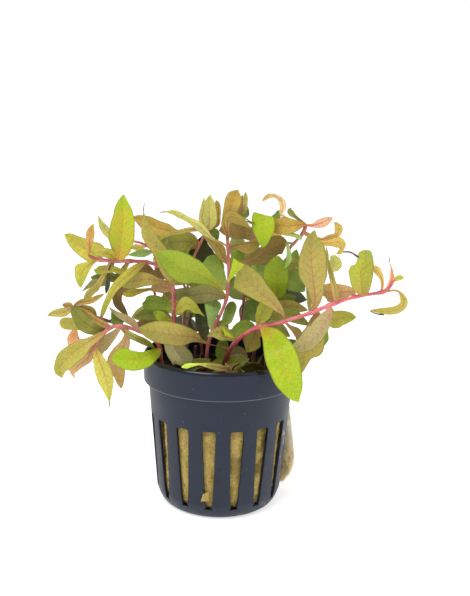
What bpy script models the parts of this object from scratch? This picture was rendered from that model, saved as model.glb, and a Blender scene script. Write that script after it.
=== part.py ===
# Potted golden nesaea: a slotted net pot, its rock wool plug, the stems and their leaves.
# Units are millimetres up to the last step, where every mesh is written in metres. +Z is up, the front is -Y,
# and the origin is the centre of the pot's base, on the surface that the pot stands on.
#
# Stems and leaves are laid out as someone who faces the plant sees them. A point is (across, up, depth): where it
# shows on the upright plane through the pot's axis, and how far it lies behind that plane, negative in front of it.
import bmesh
import bpy
import numpy as np
from math import cos, log, pi, radians, sin

MM = 0.001
GAP = 0.3

# Pot
POT_HEIGHT = 51.5
RIM_RADIUS = 26.0
COLLAR_FOOT_Z = 42.1
COLLAR_FOOT_RADIUS = 25.75
BODY_TOP_RADIUS = 24.2
BODY_FOOT_RADIUS = 21.1
CORNER_Z = 5.0
BASE_RADIUS = 17.4
WALL = 1.0
LIP_WIDTH = 1.5
POT_SEGMENTS = 32
SLOT_COUNT = 16
SLOT_FIRST_DEG = -8.3
SLOT_TOP_Z = 31.3
SLOT_FOOT_Z = 4.8
SLOT_TOP_WIDTH = 4.5
SLOT_FOOT_WIDTH = 2.8

# Rock wool
WOOL_TOP_Z = 43.0
WOOL_FOOT_RADIUS = 15.2
WOOL_SHOULDER_Z = 6.8
WOOL_CLEARANCE = 0.45
WOOL_SEGMENTS = 24
ROOT_Z = 38.5
TUFT_SLOT = 5

# Viewer's eye, in front of the pot's axis
EYE_DISTANCE = 265.0
EYE_HEIGHT = 125.0

# Leaves and stems
STALK_WIDTH = 1.3
LEAF_THICKNESS = 0.5
STEM_SIDES = 5
STEM_STEP = 8.0
STEM_STEPS = {"right_stem": 4.5, "back_left_stem": 6.0}

TINTS = {
    "pot_plastic": ((0.035, 0.042, 0.055), 0.45),
    "rock_wool": ((0.50, 0.37, 0.10), 0.95),
    "stem_pink": ((0.62, 0.13, 0.16), 0.35),
    "stem_red": ((0.22, 0.04, 0.05), 0.40),
    "lime": ((0.43, 0.60, 0.03), 0.45),
    "green": ((0.17, 0.30, 0.04), 0.40),
    "dark": ((0.05, 0.09, 0.02), 0.45),
    "olive": ((0.27, 0.31, 0.05), 0.45),
    "khaki": ((0.42, 0.37, 0.11), 0.50),
    "yellow": ((0.60, 0.58, 0.09), 0.45),
    "gold": ((0.52, 0.34, 0.08), 0.45),
    "tan": ((0.45, 0.30, 0.11), 0.50),
    "orange": ((0.72, 0.36, 0.16), 0.45),
    "brown": ((0.20, 0.13, 0.05), 0.50),
    "mauve": ((0.30, 0.20, 0.13), 0.50),
}

# Each stem: where it is rooted in the wool (x, y), its course above the wool, its radius at the root and at
# the tip, and its tint. A stem with no root forks from another one.
STEMS = {
    "runner_stem": ((0.3, 4.0), [
        (1.1, 46.7, 2), (2.5, 51, -2), (4.8, 54.7, -6), (9.7, 58.7, -10), (13, 60.1, -11), (18, 61.3, -12),
        (24, 63.2, -13), (30.4, 65.5, -13), (36.6, 68.3, -13), (44.4, 71, -12), (53.2, 72.8, -10),
        (55.4, 74.8, -10), (56.2, 77, -10)], 0.8, 0.5, "stem_pink"),
    "centre_stem": ((-6, 2), [
        (-5, 48, -1), (-4.3, 54, -2), (-2, 60.6, -2), (0.9, 67.7, -1), (1.8, 73.6, 0), (1.9, 80, 0),
        (1.5, 86, 1), (1.2, 91, 1), (2.1, 96, 2)], 0.65, 0.45, "stem_pink"),
    "left_stem": ((-13.5, 6), [
        (-14.8, 50, 4), (-15.9, 61, 3), (-15.9, 67, 2), (-16.8, 74, 1), (-20, 79, 1), (-25, 81, 0),
        (-33, 81.2, -3), (-40, 81.4, -5), (-44, 82.6, -6)], 0.95, 0.5, "stem_pink"),
    "low_left_stem": ((-18, 2), [
        (-20, 47.5, -4), (-20.8, 52.6, -6), (-23.5, 55.5, -8), (-28, 57.8, -10), (-32.4, 59.1, -11),
        (-35.5, 59.2, -11), (-38.3, 57.7, -11), (-40.5, 54.8, -12), (-42.4, 52, -12)], 0.75, 0.5, "stem_pink"),
    "side_left_stem": (None, [
        (-37, 60.6, -9.5), (-43, 62.8, -10), (-49.4, 65.3, -11)], 0.45, 0.35, "stem_red"),
    "thin_stem": ((-10.5, 10), [
        (-12, 52, 10), (-12.7, 60.7, 10), (-11.7, 70.4, 8), (-11.4, 74.5, 8), (-10, 82, 9), (-7, 89, 9),
        (-5.7, 92.2, 8.4)], 0.55, 0.4, "stem_red"),
    "back_left_stem": ((-12, 15), [
        (-16, 55, 16), (-20.5, 65, 17), (-22.5, 71, 17), (-22.4, 76, 16), (-21.8, 80.5, 15), (-22.6, 84, 14),
        (-24.6, 86.2, 13), (-27, 87.3, 11), (-29.6, 87.8, 10)], 0.6, 0.4, "stem_red"),
    "back_centre_stem": ((4, 14), [
        (5.3, 54, 14), (6.6, 63.2, 15), (7, 67.5, 15), (7.5, 74, 15), (9.5, 84, 14), (12, 91, 12),
        (13.3, 95, 10)], 0.6, 0.4, "stem_red"),
    "right_stem": ((10.5, 7), [
        (11, 51, 7), (13.5, 60, 8), (17, 72, 9), (20.6, 82, 7), (21.5, 86.2, 5),
        (23.4, 88.8, 4), (25.5, 91.3, 3), (26.8, 94.4, 2)], 0.65, 0.45, "stem_red"),
    "rear_left_stem": ((-6, 18), [
        (-7, 55, 21), (-7.5, 64, 24), (-12, 72, 27), (-15, 79, 29), (-16, 86, 31)], 0.6, 0.4, "stem_red"),
    "rear_right_stem": ((9, 18), [
        (10, 55, 18.5), (12, 61, 22), (14, 68, 26), (14.5, 77, 29), (15, 86, 31)], 0.6, 0.4, "stem_red"),
    "rear_centre_stem": ((1, 20), [
        (0.6, 57, 20.5), (-1.2, 62, 26), (-3, 70, 32), (-5, 79, 34)], 0.6, 0.4, "stem_red"),
}

# Each leaf: its course from base to tip, with depths counted from the stem, its width, how far its face is turned
# about its length (degrees, towards the right-hand side of its course), how far its halves are folded up along
# the midrib (degrees), its tint, the share of its length that is a bare stalk, and, where it isn't the usual one,
# the share of its blade at which it is widest. After a point's depth stands, where it is told, how far the blade
# reaches from the midrib there: one number for both sides, or the left-hand side and then the right-hand one.
# These are nodes of their own.
LEAVES = {
    "runner": [
        ([(12.9, 59.4, 0), (14.5, 58.6, -2.1, 1.9, 1.5), (16.6, 56.1, -6.3, 3.8, 2.9),
         (19.1, 51.6, -11.6, 4.9, 4.6), (20.9, 47.9, -13.3, 5.1), (22.2, 43.7, -15.1, 4.8, 4.6),
         (23.9, 39.8, -15.8, 3.8), (25.2, 36.5, -16.5, 2.4, 2.3), (26.8, 33.8, -17)], 10.2, 0, 8, "lime",
         0.03, 0.47),
        ([(20.7, 62.8, 0), (20.4, 64.3, -1.1, 0.4), (18.4, 66.4, -2.4, 1.1, 1.6), (15.4, 69.2, -3.3, 2, 2.5),
         (11.8, 72, -4.1, 2.9, 3.6), (8.4, 75.1, -4.5, 4.1, 4.3), (5.5, 77.4, -4.9, 4.4, 4),
         (4.1, 77.8, -5, 3.7)], 8.4, 0, 6, "khaki", 0.1, 0.8),
        ([(30.1, 65.6, 0), (30.7, 68.5, -0.4, 1, 1.6), (30.5, 71.9, -0.9, 1.9, 2.8),
         (30.1, 74.6, -1.3, 2.7, 3.3), (29.6, 77.9, -1.8, 4.3, 4.5), (29, 81.3, -2, 4.1, 4.8),
         (28.8, 84.9, -2, 3.6, 4.6), (28.6, 88, -2, 2.5, 3.9), (28.7, 90.3, -2, 1.5, 2.3), (29.6, 92.9, -2)],
         8.9, 0, 6, "khaki", 0.08, 0.54),
        ([(36.3, 67.1, 0), (35.4, 64.6, -0.9, 1.4, 1.9), (33.3, 61.4, -2, 2.7), (32.5, 58.6, -2.5, 2.2, 4.1),
         (30.1, 56.1, -3, 2.7, 3.7), (26.7, 54, -3, 2.6, 2.3), (22.6, 53, -3)], 6.4, 0, 8, "khaki", 0.05,
         0.59),
        ([(31.8, 66.3, 0), (31.5, 62.7, 1.3, 2.1), (31.3, 59, 2.6, 3.4), (29.4, 54.1, 3, 5, 4.2),
         (28, 50.9, 3, 3.1), (27.6, 47.9, 2.5, 1.7), (27.3, 45.3, 2.2, 0.8), (27.1, 43.9, 2)], 9.2, 0, 6,
         "tan", 0.05, 0.52),
        ([(35.8, 67.3, 0), (36.7, 63.1, 2.8, 2.7), (39.6, 63.6, 3.9, 2.5), (42.3, 64, 4.5, 1.7),
         (43.8, 64, 4.8, 0.9), (44.7, 64.1, 5)], 5.4, 0, 8, "olive", 0.05, 0.32),
        ([(44, 71.9, 0), (42.4, 72.6, 1.6, 1.5), (38.9, 72.4, 3, 2.6), (36.2, 72.2, 3.4, 3),
         (34.1, 72.1, 3.6, 2.6), (32.8, 71.5, 4)], 6, 0, 6, "gold", 0.05, 0.68),
        ([(37.4, 68.7, 0), (37.7, 70, -0.2, 0.9), (37.1, 73.1, -0.7, 1), (36.4, 75.7, -0.6, 0.9),
         (35.5, 78.6, 0.8, 0.8), (34.8, 80.7, 1.8, 0.6), (34.3, 83, 2.6, 0.4), (34, 85.2, 3.3, 0.4),
         (33.6, 87.6, 4)], 2, 0, 8, "olive", 0.05, 0.25),
        ([(46.1, 70.9, 0), (46.1, 72.9, -0.9, 2.2), (45.7, 75.6, -2.1, 3.2), (45.4, 78.3, -3, 3.6, 3.8),
         (45.3, 79.8, -3, 3.7, 3.9), (45.6, 80.6, -3, 2.6, 3.7), (46.2, 82.5, -3, 2.2, 3.2),
         (46.5, 84.7, -2.1, 2.3), (46.1, 86.2, -1.3, 1.6), (46.2, 86.7, -1)], 7.6, 0, 10, "olive", 0.04,
         0.53),
        ([(53.4, 72.9, 0), (58, 73.2, -1), (60.4, 69.2, -2), (57, 66.4, -3), (49, 66.4, -3)], 3.2, 30, 8,
         "khaki", 0.2, 0.5),
        ([(2.4, 51.8, 0), (-0.5, 52.9, -1.6, 0.2), (-4.1, 53.6, -3.5, 0.2), (-6.9, 54.8, -5.5, 0.7),
         (-9.5, 56.1, -7.8, 1.9), (-13.6, 56.4, -10.8, 3.4), (-17.4, 57, -12.5, 3.7),
         (-21.7, 57.6, -13.6, 3.4), (-25.4, 58.1, -14.4, 2.1), (-27.1, 58.6, -14.8, 0.8),
         (-27.8, 58.6, -15)], 7.4, 0, 6, "khaki", 0.24, 0.56),
        ([(1.3, 47.2, 0), (2.6, 45.6, -6, 0.4), (0.5, 45.4, -13.4, 1), (-2, 45.8, -17.8, 1.1),
         (-4.9, 46.3, -22.3, 0.7), (-7.4, 46.6, -23.3, 0.3), (-9.7, 46.3, -23.5, 0.6),
         (-11.8, 45.8, -23.8, 0.8), (-13.4, 45.4, -24)], 2.2, 0, 8, "tan", 0.05, 0.25),
    ],
    "centre": [
        ([(1, 69.6, 0), (-0.4, 72, -1.9, 0.5), (-2.6, 74.4, -4.3, 1.2), (-5.5, 76.1, -6.3, 2.4),
         (-9.2, 78, -8, 3.9), (-13, 79.2, -9.7, 4.8), (-16.5, 81.5, -10.7, 4), (-19.3, 83.1, -11.4, 2.6),
         (-21.1, 84.2, -11.8, 1), (-22, 84.4, -12)], 9.6, 0, 8, "green", 0.05, 0.61),
        ([(1.3, 71.9, 0), (-0.5, 74.5, 1.7, 2.1), (-2.4, 78.2, 3.7, 3), (-3.8, 81.1, 5, 3.3),
         (-4.7, 82.7, 5.7, 2.1), (-5.2, 83.3, 6)], 6.6, 0, 8, "green", 0.05, 0.79),
        ([(0.5, 69.9, 0), (-1.9, 70.6, 2.3, 2), (-5.3, 71, 5.1, 3.3), (-9.4, 70.3, 6.8, 2.9),
         (-14, 70.5, 7.3, 2.1), (-17.3, 70.5, 7.7, 1.2), (-19.8, 70.6, 8)], 6.6, 0, 6, "mauve", 0.05, 0.25),
        ([(-3.7, 58.1, 0), (-3.6, 60.3, 1.5, 1), (-3.5, 62.8, 3.5, 1.6), (-3.3, 65.1, 5, 2.4),
         (-3.1, 67.4, 6.2, 2.7), (-3.4, 69.5, 7)], 5.4, 0, 8, "green", 0.05, 0.8),
        ([(-4.8, 53.9, 0), (-5.4, 56.8, 3.8, 1.4), (-6.3, 59.3, 7.2, 2.2), (-6.9, 62.6, 8.9, 2.1),
         (-7.1, 65.5, 9.9, 1.8), (-7.2, 67.3, 10.5, 1.4), (-7.4, 68.7, 11)], 4.4, 0, 8, "dark", 0.05, 0.34),
        ([(2.1, 86, 0), (3.9, 87.2, 0.9, 0.4, 1.5), (6.9, 87.8, 2, 0.6, 3.6), (9.7, 88.2, 3, 0.6, 2.9),
         (12.5, 88.6, 4)], 4.2, 0, 6, "brown", 0.06, 0.44),
        ([(2.3, 80.7, 0), (7.5, 81.7, 5.5, 1.2), (11, 83.6, 7, 2, 3.3), (13.6, 85.6, 7.9, 2, 4.1),
         (16.5, 87.2, 8, 3.3, 3.2), (18.4, 88, 8, 3, 3.6), (20.3, 88.1, 8, 1.5), (20.5, 88, 8)], 6.6, 0, 8,
         "brown", 0.08, 0.8),
        ([(1, 90.5, 0), (0.3, 93.3, -1.6, 1.1), (1, 96.2, -2, 1.7), (2.2, 99.5, -1.9, 2.5),
         (3, 102.3, -1.5, 2.7), (3.6, 103.9, -1, 1.9), (4.3, 105.3, -1)], 5.4, 0, 10, "gold", 0.03, 0.78),
        ([(1.6, 86.8, 0), (-1, 88.2, -1.9, 0.3), (-3.6, 89.1, -3.7, 0.4), (-6.5, 91.7, -5, 1.3),
         (-8.7, 93.6, -5.9, 1.4), (-11.9, 95.4, -6, 0.9), (-14.6, 96.8, -6, 1), (-16.9, 97.6, -6, 0.7),
         (-19.3, 97.6, -6)], 2.8, 0, 10, "yellow", 0.05, 0.49),
        ([(1, 89.3, 0), (1.1, 92, -3.2, 0.4), (1.4, 95.9, -3.8, 1.6), (2.6, 96.7, -4.8, 2.1),
         (4.4, 96, -5.8, 2), (6.3, 94.9, -6.4, 1.4), (7.8, 93.6, -6.7, 0.6), (9, 92.8, -7)], 4.2, 0, 10,
         "khaki", 0.05, 0.29),
    ],
    "thin": [
        ([(-5.6, 91.6, 0), (-5.1, 92.6, -1.8, 1.1), (-4.7, 94.4, -2.2, 2.3), (-4.7, 96.9, -2.6, 2.5),
         (-4.7, 99.6, -2.6, 2), (-4.8, 102, -2.5, 1.1), (-4.5, 103.5, -2.4)], 5, 0, 8, "khaki", 0.03, 0.44),
        ([(-5.6, 91.4, 0), (-7.9, 92, -1.5, 0.5), (-11, 92, -3.4, 0.8), (-14.4, 91.2, -4.5, 0.8),
         (-17.5, 90.5, -5.1, 0.7), (-20.1, 89.2, -5.6, 0.6), (-21.6, 87.6, -6)], 1.6, 0, 8, "gold", 0.05,
         0.28),
        ([(-7.7, 87.5, 0), (-10.8, 89.4, 2.2, 1.2), (-15.6, 90.9, 3, 1.2), (-18.2, 91.5, 3.6, 2.3),
         (-21.9, 92.4, 4.6, 2.6), (-25.3, 93.9, 5.3, 2.5), (-28.2, 95.2, 5.7, 1.3), (-30.2, 95.3, 6)], 5.2,
         0, 8, "gold", 0.05, 0.61),
        ([(-6.8, 90.5, 0), (-7.1, 88.7, 3, 1.8), (-7.4, 86.4, 4, 3.7), (-7.3, 83.9, 4.5, 4.9),
         (-6.9, 81.2, 5, 4.1), (-7.2, 78.4, 5)], 9.8, 0, 14, "dark", 0.05, 0.52),
        ([(-11.3, 74.2, 0), (-15.2, 74.8, -8.1, 1.7), (-18.1, 78.1, -11.7, 2.1), (-19.6, 81.7, -12.6, 2.4),
         (-20.8, 84.9, -13.3, 2.3), (-23.5, 88, -13.8, 2.1, 2.4), (-24.7, 90.7, -14, 2.1, 1.9),
         (-25.3, 93.2, -14, 1.5, 1.1), (-25.9, 95.2, -14, 0.6), (-26.1, 97.8, -14)], 4.8, 0, 10, "khaki",
         0.05, 0.38),
    ],
    "left": [
        ([(-16.7, 74.4, 0), (-20.7, 74.9, -1.5, 1.2, 0.7), (-24.1, 75.2, -2.9, 2), (-27.6, 75.1, -3.3, 2.6),
         (-30.9, 74.4, -3.6, 2.6), (-32.8, 73.8, -3.8, 1.6), (-34.6, 73.1, -4)], 5.2, 0, 6, "khaki", 0.05,
         0.58),
        ([(-16, 65.3, 0), (-17.9, 66.2, 1.3, 1.3), (-20.6, 67.2, 3, 2.3), (-23.4, 67.4, 3.9, 2.6),
         (-25.2, 66.9, 4.5, 2), (-26.6, 67.1, 5)], 5.2, 0, 8, "green", 0.05, 0.69),
        ([(-16.1, 63.4, 0), (-14.8, 65, -1.7, 1.3), (-13.5, 66.2, -3.3, 2.2), (-12.1, 67.4, -4.7, 2.4),
         (-10.2, 66.8, -6, 1.8), (-8.6, 65.3, -6.4, 1.3), (-7.2, 64.4, -6.6, 0.5), (-5.7, 63, -7)], 4.8, 0,
         8, "yellow", 0.05, 0.39),
        ([(-16.6, 56.5, 0), (-16.5, 55.2, -1.2, 2.6), (-15.7, 52.2, -3.8, 3.3), (-14, 49.5, -5.8, 3.5),
         (-12.7, 47.7, -7, 3.6), (-12.8, 46.4, -7.7, 2.3), (-12.8, 45.7, -8)], 7.2, 0, 8, "mauve", 0.05,
         0.8),
        ([(-34.7, 81.1, 0), (-34.1, 82.2, -0.4, 1.6), (-33.8, 84.4, -1.1, 2.5, 3.1), (-33.3, 88.3, -2.3, 4),
         (-32.8, 92.2, -3.1, 4.1, 3.8), (-32.6, 95.8, -3.4, 3.4, 3.3), (-32.8, 98.8, -3.7, 2.5),
         (-32.7, 101.2, -3.9, 1.3), (-32.5, 103, -4)], 8, 0, 8, "lime", 0.02, 0.32),
        ([(-40, 81.7, 0), (-40.8, 83.2, 2.2, 3.2), (-43.2, 84.1, 2.6, 3.4), (-46.6, 85.9, 2.2, 2.8),
         (-48.9, 87.5, 1, 2.1), (-50.6, 88.9, 0, 1.2), (-51.9, 89.5, -0.5)], 6.8, 0, 8, "yellow", 0.05,
         0.25),
        ([(-40.4, 81.6, 0), (-42.1, 80.9, -1.3, 0.5), (-44, 79.6, -2.9, 1.2), (-45.7, 77.9, -3.6, 1.8, 2.7),
         (-46.4, 76.5, -4, 1.8, 2.3), (-46.8, 74.7, -4, 1.5), (-46.8, 73, -4, 0.8), (-46.6, 71.9, -4)], 4.5,
         0, 6, "yellow", 0.05, 0.49),
        ([(-25.3, 81.3, 0), (-27.8, 79.4, -2.5, 1.2), (-31, 76.8, -5.7, 1.6), (-34, 74, -7.2, 1.5),
         (-36, 71.5, -8.3, 1.2), (-37.6, 68.5, -9, 1), (-38.9, 65.6, -9, 0.9), (-39.7, 63.2, -9, 0.7),
         (-40.3, 61.5, -9)], 3.2, 0, 4, "olive", 0.05, 0.25),
    ],
    "low_left": [
        ([(-19.2, 51.8, 0), (-21.5, 51.2, -4.1, 1.9, 0.6), (-23.9, 49.7, -8.4, 2.8, 1.4),
         (-26.2, 48.5, -10.4, 3.5, 1.9), (-29.1, 47.7, -12.3, 3.6, 2.8), (-32.1, 47.5, -13.3, 3.3, 3.8),
         (-34.6, 47.7, -13.6, 2.1, 3.5), (-35.9, 48, -13.8, 1.3, 2.4), (-36.9, 48.4, -14)], 7.1, 0, 10,
         "lime", 0.05, 0.72),
        ([(-38.5, 57.3, 0), (-40.6, 56.1, -0.9, 1.3, 0.8), (-44.2, 53.7, -2.5, 1.8, 1.4),
         (-47.9, 51, -3.7, 3.1, 2.5), (-51.8, 47.6, -4.9, 3.2, 3.1), (-53.7, 44.8, -5.4, 3, 2.2),
         (-54, 43, -5.7, 1.9, 1.8), (-53.3, 40.8, -6)], 6.3, 0, 8, "olive", 0.05, 0.67),
        ([(-42.1, 52.9, 0), (-43.8, 50, -0.9, 1.3), (-44.8, 48, -0.6, 1.7), (-46.5, 46.6, 0, 1.5),
         (-48.9, 44.3, 1.2, 1.2), (-50, 43.1, 2, 1.1), (-49.2, 40.6, 2.5)], 3.4, 0, 6, "mauve", 0.05, 0.33),
        ([(-42.6, 52.9, 0), (-42.1, 50.8, -0.6, 0.8), (-41, 47.4, -1.7, 1.9), (-39.7, 43.8, -2.7, 2.6),
         (-38.7, 40.4, -3.5, 2.5), (-38.1, 37, -4.2, 1.6), (-37.7, 34.3, -4.7, 0.7), (-37.6, 32.3, -5)], 5.2,
         0, 12, "yellow", 0.05, 0.42),
        ([(-32.1, 56.4, 0), (-31.9, 54.3, 3.6, 1.4), (-33.7, 50.4, 8.2, 2.7), (-35.3, 47, 8.7, 2.9),
         (-35.5, 44.2, 8.9, 3.3, 1.8), (-34.8, 41.7, 8.6, 2.8, 1.1), (-33.7, 39.1, 8.2, 1.1),
         (-33.5, 37.4, 8)], 5.8, 0, 6, "tan", 0.05, 0.48),
        ([(-37.2, 58.2, 0), (-39.7, 57.8, 1.5, 0.9), (-42.8, 58.4, 0.5, 2.3, 2), (-45.6, 60.4, -1, 3, 2.1),
         (-47.6, 62.7, -2.5, 2.3, 1.7), (-49, 64.3, -3.8, 1.5), (-50, 65.7, -5)], 5.1, 0, 10, "green", 0.05,
         0.55),
    ],
    "right": [
        ([(18.1, 68.8, 0), (17.7, 71.8, -2.5, 1.8, 2.9), (17.2, 74.8, -5, 3.4, 4.3),
         (17.5, 77.7, -5.9, 4.5, 4.4), (18, 80.3, -6.8, 4.2, 3.6), (17.9, 82.8, -7.6, 2.3),
         (18.2, 84.1, -8)], 8.9, 0, 8, "green", 0.05, 0.56),
        ([(26.5, 94.6, 0), (25.1, 94.5, -0.6, 1.1), (22.4, 94, -1.4, 2.3), (19.8, 93.9, 0, 2.9),
         (17.2, 94, 2.5, 2.5), (15.3, 94, 4.5, 1.7), (14, 94.1, 5.5)], 5.8, 0, 8, "gold", 0.05, 0.51),
        ([(18.8, 96.3, 0), (18.9, 97.3, 0.9, 0.5), (19, 99.7, 2.8, 1.1), (18.3, 102.1, 3.6, 1),
         (16.4, 103.5, 2.8, 0.6), (14.5, 103.6, 2.1, 0.8), (13.1, 102.8, 1.5, 0.7), (12.2, 101.6, 1)], 2.2,
         0, 14, "orange", 0.05, 0.25),
    ],
    "back_centre": [
        ([(13, 94.1, 0), (13.1, 95.6, -3.5, 0.7), (13.2, 96.9, -7.5, 2.8, 3.8), (12.8, 93.3, -10, 3.8),
         (12.9, 90, -11, 2.5), (12.9, 87.6, -11, 1.1), (13, 86.7, -11)], 7.6, 0, 8, "lime", 0.05, 0.25),
        ([(12.2, 88.8, 0), (9.8, 90.7, -2.2, 2.4), (7.1, 91.4, -4.5, 2.2), (3.6, 92.1, -6, 2.7),
         (0.7, 92.3, -7.1, 2.1), (-0.9, 92.2, -7.7, 1.2), (-1.6, 91.9, -8)], 5.4, 0, 8, "olive", 0.05, 0.62),
    ],
}

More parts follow.
